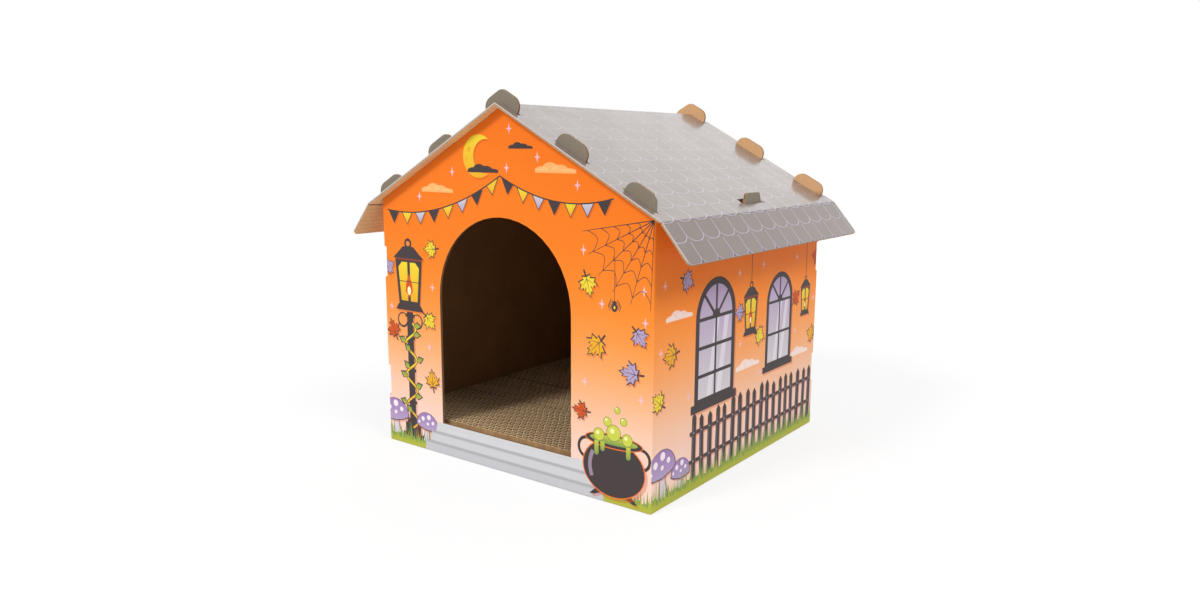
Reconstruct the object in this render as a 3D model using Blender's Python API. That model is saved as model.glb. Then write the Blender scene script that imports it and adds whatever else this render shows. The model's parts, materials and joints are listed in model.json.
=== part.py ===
"""Cardboard cat house with a corrugated scratch pad for its floor.

Two folded wall sheets lock together at two corners and make a box with a gable at each end.
A folded roof sheet drops over the tabs along the top of the walls. A pad of corrugated strips
on edge lies on the bottom flaps. Metres, +Z up, doorway towards -Y, origin under the middle.
"""
import math

import bmesh
import bpy
from mathutils import Vector

# Board and the play between neighbours
BOARD = 0.003
FIT = 0.0003
PULL = 0.75 * FIT
LAP = BOARD + FIT

# Walls
HOUSE_WIDTH = 0.400
HOUSE_DEPTH = 0.396
EAVE_HEIGHT = 0.3076

# Doorway
DOOR_WIDTH = 0.199
DOOR_OFFSET = -0.004
SILL_HEIGHT = 0.040
ARCH_SPRING = 0.196
ARCH_STEPS = 24

# Roof
ROOF_PITCH = math.radians(28.4)
GABLE_OVERHANG = 0.011
EAVE_OVERHANG = 0.0149
EAVE_FLAP_LENGTH = 0.0505
EAVE_FLAP_FOLD = math.radians(21.8)
EAVE_FLAP_DROP = math.radians(35.0)
EAVE_FLAP_CORNER = 0.005

# Tabs on the gables, measured down the slope from the ridge
UPPER_TAB_START = 0.086
TAB_LENGTH = 0.044
TAB_HEIGHT = 0.0136
TAB_CORNER = 0.012
RIDGE_TAB_HALF = 0.025
RIDGE_TAB_PEAK = 0.010
TAB_RIDGE_PLAY = 0.0025
TAB_EAVE_PLAY = 0.0005
TAB_SIDE_PLAY = 0.0006

# Tabs on the side walls, through slots just above the eave crease
EAVE_TAB_FOOT = 0.044
EAVE_TAB_TOP = 0.032
EAVE_TAB_RISE = 0.0147
EAVE_TAB_CORNER = 0.004
EAVE_TAB_OFFSET = 0.006
EAVE_SLOT_SWING = 0.0054
EAVE_SLOT_PLAY = 0.0012
EAVE_SLOT_END_PLAY = 0.004

# Corner locks
LOWER_TONGUE = 0.080
UPPER_TONGUE = 0.231
TONGUE_HEIGHT = 0.038
TONGUE_LENGTH = 0.034
TONGUE_CORNER = 0.008
TONGUE_PLAY = 0.001
CORNER_FLAP_WIDTH = 0.036
CORNER_FLAP_HEADROOM = 0.010
CORNER_FLAP_OVER_PAD = 0.006

# Bottom flaps and scratch pad
FLOOR_FLAP_DEPTH = 0.090
FLOOR_FLAP_RELIEF = 0.004
PAD_HEIGHT = 0.0395
PAD_PLAY = 0.0015
ROW_PITCH = 0.0049
ROW_LINER = 0.0008
FLUTE_PITCH = 0.009
FLUTED_ROWS = 24
GLUED_BLOCKS = 3
GROOVE_DEPTH = 0.002

# Sizes that follow from the ones above
HALF_WIDTH = HOUSE_WIDTH / 2
HALF_DEPTH = HOUSE_DEPTH / 2
SEAT = BOARD + FIT
SIDE_TOP = EAVE_HEIGHT - FIT
RIDGE_TOP = EAVE_HEIGHT + HALF_WIDTH * math.tan(ROOF_PITCH) + SEAT / math.cos(ROOF_PITCH)
SLOPE_LENGTH = (HALF_WIDTH + EAVE_OVERHANG) / math.cos(ROOF_PITCH)
LOWER_TAB_END = (HALF_WIDTH + SEAT * math.sin(ROOF_PITCH)) / math.cos(ROOF_PITCH)
LOWER_TAB_START = LOWER_TAB_END - TAB_LENGTH
ROOF_HALF = HALF_DEPTH + GABLE_OVERHANG

# How far a slot draws back towards the ridge while the roof rises straight up past a tab
LIFT_RUN = (TAB_HEIGHT - TAB_CORNER * (1 - math.sin(ROOF_PITCH)) + BOARD) * math.tan(ROOF_PITCH)
LIFT_RUN -= TAB_CORNER * (1 - math.cos(ROOF_PITCH))
PAD_BOTTOM = BOARD + FIT
PAD_TOP = PAD_BOTTOM + PAD_HEIGHT
PAD_HALF_WIDTH = HALF_WIDTH - LAP - BOARD - PAD_PLAY
PAD_HALF_DEPTH = HALF_DEPTH - LAP - BOARD - PAD_PLAY
TONGUE_CENTRES = (LOWER_TONGUE, UPPER_TONGUE)
FILLET_STEPS = 5
QUARTER = math.pi / 2


def clear_scene():
    """Empty the file so that the model starts from nothing."""
    for thing in list(bpy.data.objects):
        bpy.data.objects.remove(thing, do_unlink=True)


def make_finish(name, colour, roughness):
    """A paper or board finish."""
    finish = bpy.data.materials.new(name)
    finish.use_nodes = True
    shader = finish.node_tree.nodes["Principled BSDF"]
    shader.inputs["Base Color"].default_value = (*colour, 1.0)
    shader.inputs["Roughness"].default_value = roughness
    shader.inputs["Metallic"].default_value = 0.0
    return finish


def round_corners(points):
    """Turn (x, y, radius) corners of a closed outline into points, with arcs where asked."""
    ring = []
    for index, (x, y, radius) in enumerate(points):
        if radius == 0:
            ring.append((x, y))
            continue
        corner = Vector((x, y))
        back = (Vector(points[index - 1][:2]) - corner).normalized()
        ahead = (Vector(points[(index + 1) % len(points)][:2]) - corner).normalized()
        half_angle = back.angle(ahead) / 2
        centre = corner + (back + ahead).normalized() * radius / math.sin(half_angle)
        first = corner + back * radius / math.tan(half_angle) - centre
        last = corner + ahead * radius / math.tan(half_angle) - centre
        start = math.atan2(first.y, first.x)
        sweep = math.remainder(math.atan2(last.y, last.x) - start, 2 * math.pi)
        for step in range(FILLET_STEPS + 1):
            angle = start + sweep * step / FILLET_STEPS
            ring.append((centre.x + radius * math.cos(angle), centre.y + radius * math.sin(angle)))
    return ring


def add_object(name, builder, finish, parent=None, location=(0, 0, 0), rotation=(0, 0, 0)):
    """Write a bmesh into a named object and place it."""
    mesh = bpy.data.meshes.new(name)
    builder.to_mesh(mesh)
    builder.free()
    mesh.materials.append(finish)
    thing = bpy.data.objects.new(name, mesh)
    bpy.context.collection.objects.link(thing)
    thing.parent = parent
    thing.location = location
    thing.rotation_euler = rotation
    return thing


def add_pivot(name, location):
    """An empty that carries the pieces of one moving group."""
    pivot = bpy.data.objects.new(name, None)
    bpy.context.collection.objects.link(pivot)
    pivot.location = location
    return pivot


def panel(outline, holes=(), creases=()):
    """A flat panel of board. Its outer face is at z = 0 and its inner face a board below.

    Each crease is (axis, place, shift): the inner corners at that place move by shift, so the
    edge slants and two folded panels meet in a mitre.
    """
    builder = bmesh.new()
    edges = []
    for ring in (outline, *holes):
        corners = [builder.verts.new((x, y, 0)) for x, y in ring]
        pairs = zip(corners, corners[1:] + corners[:1])
        edges += [builder.edges.new(pair) for pair in pairs]
    bmesh.ops.triangle_fill(builder, edges=edges, use_beauty=True, normal=(0, 0, 1))
    sheet = bmesh.ops.extrude_face_region(builder, geom=builder.faces[:])
    inner = [item for item in sheet["geom"] if isinstance(item, bmesh.types.BMVert)]
    bmesh.ops.translate(builder, verts=inner, vec=(0, 0, -BOARD))
    for axis, place, shift in creases:
        for corner in inner:
            if abs(corner.co[axis] - place) < FIT / 10:
                corner.co[axis] += shift
    bmesh.ops.recalc_face_normals(builder, faces=builder.faces[:])
    return builder


def rectangle(x_low, x_high, y_low, y_high):
    """The four corners of an upright rectangle."""
    return [(x_low, y_low), (x_high, y_low), (x_high, y_high), (x_low, y_high)]


def on_gable(down_slope, above_roof, side):
    """A point in a gable's plane, from its place on the roof. side is +1 right, -1 left."""
    x = down_slope * math.cos(ROOF_PITCH) + above_roof * math.sin(ROOF_PITCH)
    y = RIDGE_TOP - down_slope * math.sin(ROOF_PITCH) + above_roof * math.cos(ROOF_PITCH)
    return side * x, y


def gable_tab(start, end, side):
    """One tab on a slope of the gable, from its end nearer the ridge to the farther one."""
    return [
        (*on_gable(start, -SEAT, side), 0),
        (*on_gable(start, TAB_HEIGHT, side), TAB_CORNER),
        (*on_gable(end, TAB_HEIGHT, side), TAB_CORNER),
        (*on_gable(end, -SEAT, side), 0),
    ]


def gable_top():
    """The top of a gable from its right eave over the ridge to its left eave."""
    upper_end = UPPER_TAB_START + TAB_LENGTH
    right = gable_tab(LOWER_TAB_START, LOWER_TAB_END, 1)[::-1]
    right += gable_tab(UPPER_TAB_START, upper_end, 1)[::-1]
    peak = RIDGE_TOP + TAB_HEIGHT / math.cos(ROOF_PITCH)
    ridge = [
        (*on_gable(RIDGE_TAB_HALF, -SEAT, 1), 0),
        (*on_gable(RIDGE_TAB_HALF, TAB_HEIGHT, 1), TAB_CORNER),
        (0, peak, RIDGE_TAB_PEAK),
        (*on_gable(RIDGE_TAB_HALF, TAB_HEIGHT, -1), TAB_CORNER),
        (*on_gable(RIDGE_TAB_HALF, -SEAT, -1), 0),
    ]
    left = gable_tab(UPPER_TAB_START, upper_end, -1)
    left += gable_tab(LOWER_TAB_START, LOWER_TAB_END, -1)
    return right + ridge + left


def eave_top():
    """The top edge of a side wall's tab, from right to left."""
    foot = EAVE_TAB_FOOT / 2
    head = EAVE_TAB_TOP / 2
    top = SIDE_TOP + EAVE_TAB_RISE
    return [
        (EAVE_TAB_OFFSET + foot, SIDE_TOP, 0),
        (EAVE_TAB_OFFSET + head, top, EAVE_TAB_CORNER),
        (EAVE_TAB_OFFSET - head, top, EAVE_TAB_CORNER),
        (EAVE_TAB_OFFSET - foot, SIDE_TOP, 0),
    ]


def notched_edge(x, inward):
    """A free vertical edge from the bottom up, stepped in where the lock tongues fold away."""
    fold = x + inward * (LAP + PULL)
    points = []
    for centre in TONGUE_CENTRES:
        low = centre - TONGUE_HEIGHT / 2
        high = centre + TONGUE_HEIGHT / 2
        points += [(x, low, 0), (fold, low, 0), (fold, high, 0), (x, high, 0)]
    return points


def doorway():
    """The arched opening in the front wall."""
    radius = DOOR_WIDTH / 2
    ring = [(DOOR_OFFSET - radius, SILL_HEIGHT), (DOOR_OFFSET + radius, SILL_HEIGHT)]
    for step in range(ARCH_STEPS + 1):
        angle = math.pi * step / ARCH_STEPS
        x = DOOR_OFFSET + radius * math.cos(angle)
        ring.append((x, ARCH_SPRING + radius * math.sin(angle)))
    return ring


def make_front_wall(finish):
    """Gable with the doorway. Its left edge covers the left wall and carries two tongues."""
    right = HALF_WIDTH - PULL
    outline = [(-HALF_WIDTH, PULL, 0), (right, PULL, 0), (right, EAVE_HEIGHT, 0)]
    outline += gable_top()
    outline += notched_edge(-HALF_WIDTH, 1)[::-1]
    creases = [
        (0, right, -BOARD),
        (0, -HALF_WIDTH + LAP + PULL, BOARD),
        (1, PULL, BOARD),
    ]
    builder = panel(round_corners(outline), [doorway()], creases)
    return add_object("front_wall", builder, finish, None, (0, -HALF_DEPTH, 0), (QUARTER, 0, 0))


def make_right_wall(finish):
    """Side wall folded from the front wall. Its back edge covers the back wall."""
    left = -HALF_DEPTH + PULL
    outline = [(left, PULL, 0), (HALF_DEPTH, PULL, 0)]
    outline += notched_edge(HALF_DEPTH, -1)
    outline += [(HALF_DEPTH, SIDE_TOP, 0)] + eave_top() + [(left, SIDE_TOP, 0)]
    creases = [
        (0, left, BOARD),
        (0, HALF_DEPTH - LAP - PULL, -BOARD),
        (1, PULL, BOARD),
    ]
    builder = panel(round_corners(outline), creases=creases)
    place = (HALF_WIDTH, 0, 0)
    return add_object("right_wall", builder, finish, None, place, (QUARTER, 0, QUARTER))


def make_back_wall(finish):
    """Closed gable. Its left edge, seen from behind, tucks inside the right wall."""
    left = -HALF_WIDTH + LAP + PULL
    right = HALF_WIDTH - PULL
    outline = [(left, PULL, 0), (right, PULL, 0), (right, EAVE_HEIGHT, 0)]
    outline += gable_top() + [(left, EAVE_HEIGHT, 0)]
    creases = [(0, left, BOARD), (0, right, -BOARD), (1, PULL, BOARD)]
    builder = panel(round_corners(outline), creases=creases)
    place = (0, HALF_DEPTH, 0)
    return add_object("back_wall", builder, finish, None, place, (QUARTER, 0, 2 * QUARTER))


def make_left_wall(finish):
    """Side wall folded from the back wall. Its front edge tucks behind the front wall."""
    left = -HALF_DEPTH + PULL
    right = HALF_DEPTH - LAP - PULL
    outline = [(left, PULL, 0), (right, PULL, 0), (right, SIDE_TOP, 0)]
    outline += eave_top() + [(left, SIDE_TOP, 0)]
    creases = [(0, left, BOARD), (0, right, -BOARD), (1, PULL, BOARD)]
    builder = panel(round_corners(outline), creases=creases)
    place = (-HALF_WIDTH, 0, 0)
    return add_object("left_wall", builder, finish, None, place, (QUARTER, 0, -QUARTER))


def make_corner_flap(name, wall, fold, side, finish):
    """Inner flap that a wall's edge folds into, with a slot for each tongue.

    fold is the crease's place across the wall. side is +1 for a wall's right edge.
    """
    low = PAD_TOP + CORNER_FLAP_OVER_PAD
    high = SIDE_TOP - CORNER_FLAP_HEADROOM
    crease = side * PULL
    slot = side * 2 * LAP
    free = side * CORNER_FLAP_WIDTH
    outline = [(crease, low), (free, low), (free, high), (crease, high)]
    for centre in reversed(TONGUE_CENTRES):
        slot_high = centre + TONGUE_HEIGHT / 2 + TONGUE_PLAY
        slot_low = centre - TONGUE_HEIGHT / 2 - TONGUE_PLAY
        outline += [(crease, slot_high), (slot, slot_high), (slot, slot_low), (crease, slot_low)]
    builder = panel(outline, creases=[(0, crease, side * BOARD)])
    return add_object(name, builder, finish, wall, (fold, 0, 0), (0, side * QUARTER, 0))


def make_tongue(name, wall, fold, side, centre, finish):
    """Lock tongue folded in from a covering edge, through the corner flap's slot."""
    low = centre - TONGUE_HEIGHT / 2 + FIT
    high = centre + TONGUE_HEIGHT / 2 - FIT
    crease = side * PULL
    free = side * TONGUE_LENGTH
    outline = [(crease, low, 0), (free, low, TONGUE_CORNER), (free, high, TONGUE_CORNER)]
    outline.append((crease, high, 0))
    builder = panel(round_corners(outline), creases=[(0, crease, side * BOARD)])
    return add_object(name, builder, finish, wall, (fold, 0, 0), (0, side * QUARTER, 0))


def make_floor_flap(name, wall, left, right, finish):
    """Bottom flap folded in under the pad, with slanted ends so that four fit together."""
    left += FLOOR_FLAP_RELIEF
    right -= FLOOR_FLAP_RELIEF
    outline = [
        (left, -PULL),
        (left + FLOOR_FLAP_DEPTH, -FLOOR_FLAP_DEPTH),
        (right - FLOOR_FLAP_DEPTH, -FLOOR_FLAP_DEPTH),
        (right, -PULL),
    ]
    builder = panel(outline, creases=[(1, -PULL, -BOARD)])
    return add_object(name, builder, finish, wall, (0, 0, 0), (QUARTER, 0, 0))


def make_walls(printed, kraft):
    """The two wall sheets with their bottom flaps and corner locks."""
    front = make_front_wall(printed)
    right = make_right_wall(printed)
    back = make_back_wall(printed)
    left = make_left_wall(printed)
    make_floor_flap("front_floor_flap", front, -HALF_WIDTH, HALF_WIDTH, kraft)
    make_floor_flap("right_floor_flap", right, -HALF_DEPTH, HALF_DEPTH, kraft)
    make_floor_flap("back_floor_flap", back, -HALF_WIDTH + LAP, HALF_WIDTH, kraft)
    make_floor_flap("left_floor_flap", left, -HALF_DEPTH, HALF_DEPTH - LAP, kraft)
    make_corner_flap("front_left_corner_flap", left, HALF_DEPTH - LAP, 1, kraft)
    make_corner_flap("back_right_corner_flap", back, -HALF_WIDTH + LAP, -1, kraft)
    for height, centre in zip(("lower", "upper"), TONGUE_CENTRES):
        make_tongue(f"front_{height}_tongue", front, -HALF_WIDTH + LAP, -1, centre, kraft)
        make_tongue(f"right_{height}_tongue", right, HALF_DEPTH - LAP, 1, centre, kraft)


def roof_outline():
    """Outer edge of one slope, notched at the ridge for the two ridge tabs."""
    ridge = PULL
    eave = SLOPE_LENGTH - PULL
    slot_end = RIDGE_TAB_HALF + LIFT_RUN + TAB_EAVE_PLAY
    slot_out = HALF_DEPTH + TAB_SIDE_PLAY
    slot_in = HALF_DEPTH - BOARD - TAB_SIDE_PLAY
    return [
        (ridge, -ROOF_HALF), (eave, -ROOF_HALF), (eave, ROOF_HALF), (ridge, ROOF_HALF),
        (ridge, slot_out), (slot_end, slot_out), (slot_end, slot_in), (ridge, slot_in),
        (ridge, -slot_in), (slot_end, -slot_in), (slot_end, -slot_out), (ridge, -slot_out),
    ]


def roof_slots():
    """Slots in one slope for the gable tabs and for the side wall's tab."""
    slots = []
    for start in (UPPER_TAB_START, LOWER_TAB_START):
        low = start - TAB_RIDGE_PLAY
        high = start + TAB_LENGTH + LIFT_RUN + TAB_EAVE_PLAY
        near = HALF_DEPTH - BOARD - TAB_SIDE_PLAY
        far = HALF_DEPTH + TAB_SIDE_PLAY
        slots.append(rectangle(low, high, near, far))
        slots.append(rectangle(low, high, -far, -near))
    tab_inner = (HALF_WIDTH - BOARD) / math.cos(ROOF_PITCH)
    tab_outer = (HALF_WIDTH + BOARD * math.sin(ROOF_PITCH)) / math.cos(ROOF_PITCH)
    half = EAVE_TAB_FOOT / 2 + EAVE_SLOT_END_PLAY
    slots.append(rectangle(
        tab_inner - EAVE_SLOT_SWING, tab_outer + EAVE_SLOT_PLAY,
        EAVE_TAB_OFFSET - half, EAVE_TAB_OFFSET + half,
    ))
    return slots


def make_slope(name, pivot, turn, finish):
    """One half of the roof. Its origin lies on the ridge crease."""
    relief = math.tan((EAVE_FLAP_FOLD + EAVE_FLAP_DROP) / 2)
    creases = [
        (0, PULL, BOARD * math.tan(ROOF_PITCH)),
        (0, SLOPE_LENGTH - PULL, -BOARD * relief),
    ]
    builder = panel(roof_outline(), roof_slots(), creases)
    return add_object(name, builder, finish, pivot, (0, 0, 0), (0, ROOF_PITCH, turn))


def make_eave_flap(name, slope, finish):
    """Flap that hangs past the eave crease. Its origin lies on that crease."""
    relief = math.tan((EAVE_FLAP_FOLD + EAVE_FLAP_DROP) / 2)
    outline = [
        (PULL, -ROOF_HALF, 0),
        (EAVE_FLAP_LENGTH, -ROOF_HALF, EAVE_FLAP_CORNER),
        (EAVE_FLAP_LENGTH, ROOF_HALF, EAVE_FLAP_CORNER),
        (PULL, ROOF_HALF, 0),
    ]
    builder = panel(round_corners(outline), creases=[(0, PULL, BOARD * relief)])
    return add_object(name, builder, finish, slope, (SLOPE_LENGTH, 0, 0), (0, EAVE_FLAP_FOLD, 0))


def make_roof(printed):
    """The roof sheet: two slopes hinged at the ridge crease, each with its eave flap."""
    pivot = add_pivot("ridge_crease", (0, 0, RIDGE_TOP))
    right = make_slope("right_roof_slope", pivot, 0, printed)
    left = make_slope("left_roof_slope", pivot, 2 * QUARTER, printed)
    make_eave_flap("right_eave_flap", right, printed)
    make_eave_flap("left_eave_flap", left, printed)


def fluted_row():
    """Cross-section of one strip: a flat liner in front and flutes behind it."""
    crest = ROW_PITCH - FIT
    waves = int(2 * PAD_HALF_WIDTH / FLUTE_PITCH)
    step = PAD_HALF_WIDTH / waves
    ring = [(-PAD_HALF_WIDTH, 0), (PAD_HALF_WIDTH, 0)]
    for index in range(2 * waves + 1):
        ring.append((PAD_HALF_WIDTH - index * step, crest if index % 2 else ROW_LINER))
    return ring


def make_strip(name, row_front, base, finish):
    """One strip that stands on edge, with its flutes cut through from top to bottom."""
    builder = bmesh.new()
    corners = [builder.verts.new((x, y, 0)) for x, y in fluted_row()]
    strip = bmesh.ops.extrude_face_region(builder, geom=[builder.faces.new(corners)])
    top = [item for item in strip["geom"] if isinstance(item, bmesh.types.BMVert)]
    bmesh.ops.translate(builder, verts=top, vec=(0, 0, PAD_HEIGHT))
    bmesh.ops.recalc_face_normals(builder, faces=builder.faces[:])
    return add_object(name, builder, finish, base, (0, row_front, 0))


def make_glued_block(name, rows, row_front, base, finish):
    """Strips glued face to face. A groove in the top marks each glue line."""
    end = rows * ROW_PITCH - FIT
    ring = [(0, 0), (end, 0), (end, PAD_HEIGHT)]
    for row in range(rows - 1, 0, -1):
        line = row * ROW_PITCH
        ring += [(line, PAD_HEIGHT), (line, PAD_HEIGHT - GROOVE_DEPTH)]
        ring += [(line - FIT, PAD_HEIGHT - GROOVE_DEPTH), (line - FIT, PAD_HEIGHT)]
    ring.append((0, PAD_HEIGHT))
    builder = bmesh.new()
    corners = [builder.verts.new((-PAD_HALF_WIDTH, y, z)) for y, z in ring]
    block = bmesh.ops.extrude_face_region(builder, geom=[builder.faces.new(corners)])
    far = [item for item in block["geom"] if isinstance(item, bmesh.types.BMVert)]
    bmesh.ops.translate(builder, verts=far, vec=(2 * PAD_HALF_WIDTH, 0, 0))
    bmesh.ops.recalc_face_normals(builder, faces=builder.faces[:])
    return add_object(name, builder, finish, base, (0, row_front, 0))


def make_pad(finish):
    """The scratch pad. The strips that show in the doorway have their flutes cut through."""
    base = add_pivot("pad_base", (0, 0, PAD_BOTTOM))
    rows = int(2 * PAD_HALF_DEPTH / ROW_PITCH)
    front = -rows * ROW_PITCH / 2 + FIT / 2
    for row in range(FLUTED_ROWS):
        make_strip(f"scratch_strip_{row + 1:02}", front + row * ROW_PITCH, base, finish)
    placed = FLUTED_ROWS
    for block in range(GLUED_BLOCKS):
        count = (rows - placed) // (GLUED_BLOCKS - block)
        name = f"scratch_strip_block_{block + 1}"
        make_glued_block(name, count, front + placed * ROW_PITCH, base, finish)
        placed += count


def main():
    """Build the whole house."""
    clear_scene()
    orange = make_finish("printed_orange_board", (0.95, 0.27, 0.05), 0.45)
    grey = make_finish("printed_grey_board", (0.42, 0.38, 0.35), 0.30)
    kraft = make_finish("kraft_board", (0.50, 0.30, 0.16), 0.85)
    flute = make_finish("kraft_strip", (0.36, 0.24, 0.13), 0.90)
    make_walls(orange, kraft)
    make_roof(grey)
    make_pad(flute)


main()
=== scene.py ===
# %% [markdown]
# # A folded cardboard house for a cat
#
# The house is made from three flat sheets of corrugated board and a pad of board strips. This
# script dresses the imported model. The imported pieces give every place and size, so the script
# starts by loading them and by noting the box that they fill.

import json
import math
import random

import bmesh
import bpy
from mathutils import Matrix, Vector
from mathutils.geometry import delaunay_2d_cdt


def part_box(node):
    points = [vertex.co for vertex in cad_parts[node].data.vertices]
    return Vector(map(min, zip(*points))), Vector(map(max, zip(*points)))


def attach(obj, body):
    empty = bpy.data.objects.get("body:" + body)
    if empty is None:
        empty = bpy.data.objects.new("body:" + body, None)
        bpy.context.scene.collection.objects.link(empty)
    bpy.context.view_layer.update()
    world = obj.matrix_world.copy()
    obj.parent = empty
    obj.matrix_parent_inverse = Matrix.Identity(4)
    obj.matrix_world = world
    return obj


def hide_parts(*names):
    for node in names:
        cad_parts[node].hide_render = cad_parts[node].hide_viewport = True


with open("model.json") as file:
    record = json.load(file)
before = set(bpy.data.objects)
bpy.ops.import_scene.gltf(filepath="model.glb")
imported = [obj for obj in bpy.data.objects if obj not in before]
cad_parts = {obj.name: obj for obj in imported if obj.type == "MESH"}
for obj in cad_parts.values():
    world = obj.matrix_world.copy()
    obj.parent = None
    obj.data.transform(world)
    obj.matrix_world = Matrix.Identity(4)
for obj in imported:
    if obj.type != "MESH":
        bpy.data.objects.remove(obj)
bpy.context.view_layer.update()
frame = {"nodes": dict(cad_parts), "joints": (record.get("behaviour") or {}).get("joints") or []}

# %% [markdown]
# ## Sizes that the sheets share
#
# Walls and roof are one board thick. The front wall's outer face and the side walls' outer faces
# give the footprint, and the joints give the roof's creases. A score line lets the board turn a
# corner, and the paper outside it bends round a small radius. The two panels of a fold share its
# angle, so a square corner takes 45 degrees from each. At rest an eave is bent by as much as its
# joint can open it, and how far it can still close is shared in the same way.

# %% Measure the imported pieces
MM = 0.001
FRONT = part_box("front_wall")[0].y
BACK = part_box("back_wall")[1].y
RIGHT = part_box("right_wall")[1].x
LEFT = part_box("left_wall")[0].x
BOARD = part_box("right_wall")[1].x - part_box("right_wall")[0].x

joints = {joint["name"]: joint for joint in frame["joints"]}
RIDGE = Vector(joints["ridge_fold"]["pos_m"]).z
EAVE = Vector(joints["right_eave_fold"]["pos_m"])
eave_closes, eave_opens = joints["right_eave_fold"]["range_deg"]
PITCH = math.atan2(RIDGE - EAVE.z, EAVE.x)
SLOPE = EAVE.x / math.cos(PITCH)
EAVE_TURN = math.radians(eave_opens)
EAVE_ROOM = math.radians(-eave_closes) / 2
FLAP = (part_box("right_eave_flap")[1].x - EAVE.x) / math.cos(PITCH + EAVE_TURN)
print("board mm", round(BOARD / MM, 2), "pitch", round(math.degrees(PITCH), 2))

# %% [markdown]
# ## Shader sums that read like sums
#
# Prints and paper are worked out with arithmetic on coordinates. A small class wraps a shader
# socket and gives it the signs of a plain number, so a pattern is written as it would be on
# paper. Every other node comes from one method, which sets the node's options before its inputs.


# %% A socket with the signs of a number
class Amount:
    """A number that varies over a surface."""

    def __init__(self, nodes, socket):
        self.nodes = nodes
        self.socket = socket

    def math(self, operation, *others):
        values = dict(enumerate((self, *others)))
        return self.nodes.node("ShaderNodeMath", {"operation": operation}, values)

    def __add__(self, other):
        return self.math("ADD", other)

    def __radd__(self, other):
        return self.math("ADD", other)

    def __mul__(self, other):
        return self.math("MULTIPLY", other)

    def __rmul__(self, other):
        return self.math("MULTIPLY", other)

    def __sub__(self, other):
        return self.math("SUBTRACT", other)

    def __rsub__(self, other):
        return self.nodes.node("ShaderNodeMath", {"operation": "SUBTRACT"}, {0: other, 1: self})

    def __truediv__(self, other):
        return self.math("DIVIDE", other)

    def __gt__(self, other):
        return self.math("GREATER_THAN", other)

    def __lt__(self, other):
        return self.math("LESS_THAN", other)

    def __abs__(self):
        return self.math("ABSOLUTE")

    def sine(self):
        return self.math("SINE")

    def root(self):
        return self.math("SQRT")

    def whole(self):
        return self.math("FLOOR")

    def least(self, other):
        return self.math("MINIMUM", other)

    def most(self, other):
        return self.math("MAXIMUM", other)

    def ramp(self, low, high, start=0.0, end=1.0):
        """A smooth step from start to end while this amount goes from low to high."""
        values = {"Value": self, "From Min": low, "From Max": high, "To Min": start, "To Max": end}
        return self.nodes.node("ShaderNodeMapRange", {"interpolation_type": "SMOOTHSTEP"}, values)


# %% A node tree and a material
class Nodes:
    """A tree of shader nodes under construction."""

    def __init__(self, tree):
        self.tree = tree

    def node(self, kind, settings=None, inputs=None, output=0):
        """Add a node: its settings first, then values or links for its sockets."""
        node = self.tree.nodes.new(kind)
        for name, value in (settings or {}).items():
            if name == "stops":
                self.fill_ramp(node.color_ramp, value)
            else:
                setattr(node, name, value)
        for key, value in (inputs or {}).items():
            self.plug(value, node.inputs[key])
        return None if output is None else Amount(self, node.outputs[output])

    def fill_ramp(self, ramp, stops):
        for index, (place, colour) in enumerate(stops):
            ready = index < len(ramp.elements)
            element = ramp.elements[index] if ready else ramp.elements.new(place)
            element.position = place
            element.color = (*colour, 1.0)

    def plug(self, value, socket):
        if isinstance(value, Amount):
            self.tree.links.new(value.socket, socket)
        elif socket.type == "RGBA" and len(value) == 3:
            socket.default_value = (*value, 1.0)
        else:
            socket.default_value = value

    def blend(self, share, under, over):
        """Lay one colour over another by a share from 0 to 1."""
        settings = {"data_type": "RGBA", "blend_type": "MIX"}
        return self.node("ShaderNodeMix", settings, {0: share, 6: under, 7: over}, 2)

    def noise(self, place, scale, detail):
        values = {"Vector": place, "Scale": scale, "Detail": detail, "Roughness": 0.55}
        return self.node("ShaderNodeTexNoise", {}, values)

    def bump(self, height, distance, strength=1.0):
        values = {"Height": height, "Distance": distance, "Strength": strength}
        return self.node("ShaderNodeBump", {}, values)

    def part(self, vector, axis):
        """One coordinate of a vector."""
        return self.node("ShaderNodeSeparateXYZ", {}, {"Vector": vector}, axis)

    def seen(self):
        """1 for rays from the camera or off a shiny face, 0 for light on its way to the house."""
        names = ("Is Camera Ray", "Is Glossy Ray")
        rays = [self.node("ShaderNodeLightPath", {}, {}, name) for name in names]
        return rays[0].most(rays[1])


class Finish(Nodes):
    """A material under construction."""

    def __init__(self, name):
        self.material = bpy.data.materials.new(name)
        self.material.use_nodes = True
        super().__init__(self.material.node_tree)
        self.shader = self.tree.nodes["Principled BSDF"]

    def surface(self, **values):
        """Set the principled shader's sockets, with underscores for the spaces in their names."""
        for name, value in values.items():
            socket = name.replace("_", " ").title().replace("Ior", "IOR")
            self.plug(value, self.shader.inputs[socket])
        print("finish", self.material.name)
        return self.material


# %% Printed colours
def ink(red, green, blue):
    """A printed colour, given as it looks on a screen from 0 to 255."""
    shares = [channel / 255 for channel in (red, green, blue)]
    return tuple(s / 12.92 if s <= 0.04045 else ((s + 0.055) / 1.055) ** 2.4 for s in shares)


def toned(tone, share):
    """A colour made darker or paler."""
    return [min(1.0, channel * share) for channel in tone]


# %% [markdown]
# ## Paper
#
# Every sheet carries two maps of its own. The map called sheet runs over the flat blank in
# metres, across it and up it, so a pattern follows the board round a fold. The map called ply
# says how deep in the board a point lies, from 0 on the printed face to 1 on the inner face.
# Kraft paper is made of long brown fibres, so its colour comes from noise stretched one way.
# The flutes under it show as a faint washboard.

# %% Kraft paper inside the house
FLUTE = 6.6 * MM
TURN = 2 * math.pi
# A paler kraft, painted light for the tabs that stand above the roof.
PAINTED_LIGHT_KRAFT_TONE = ink(212, 166, 120)
LIT_BAND = 12 * MM


def sheet_place(finish):
    """The place on the flat blank, and its two coordinates."""
    place = finish.node("ShaderNodeUVMap", {"uv_map": "sheet"})
    return place, finish.part(place, "X"), finish.part(place, "Y")


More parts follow.
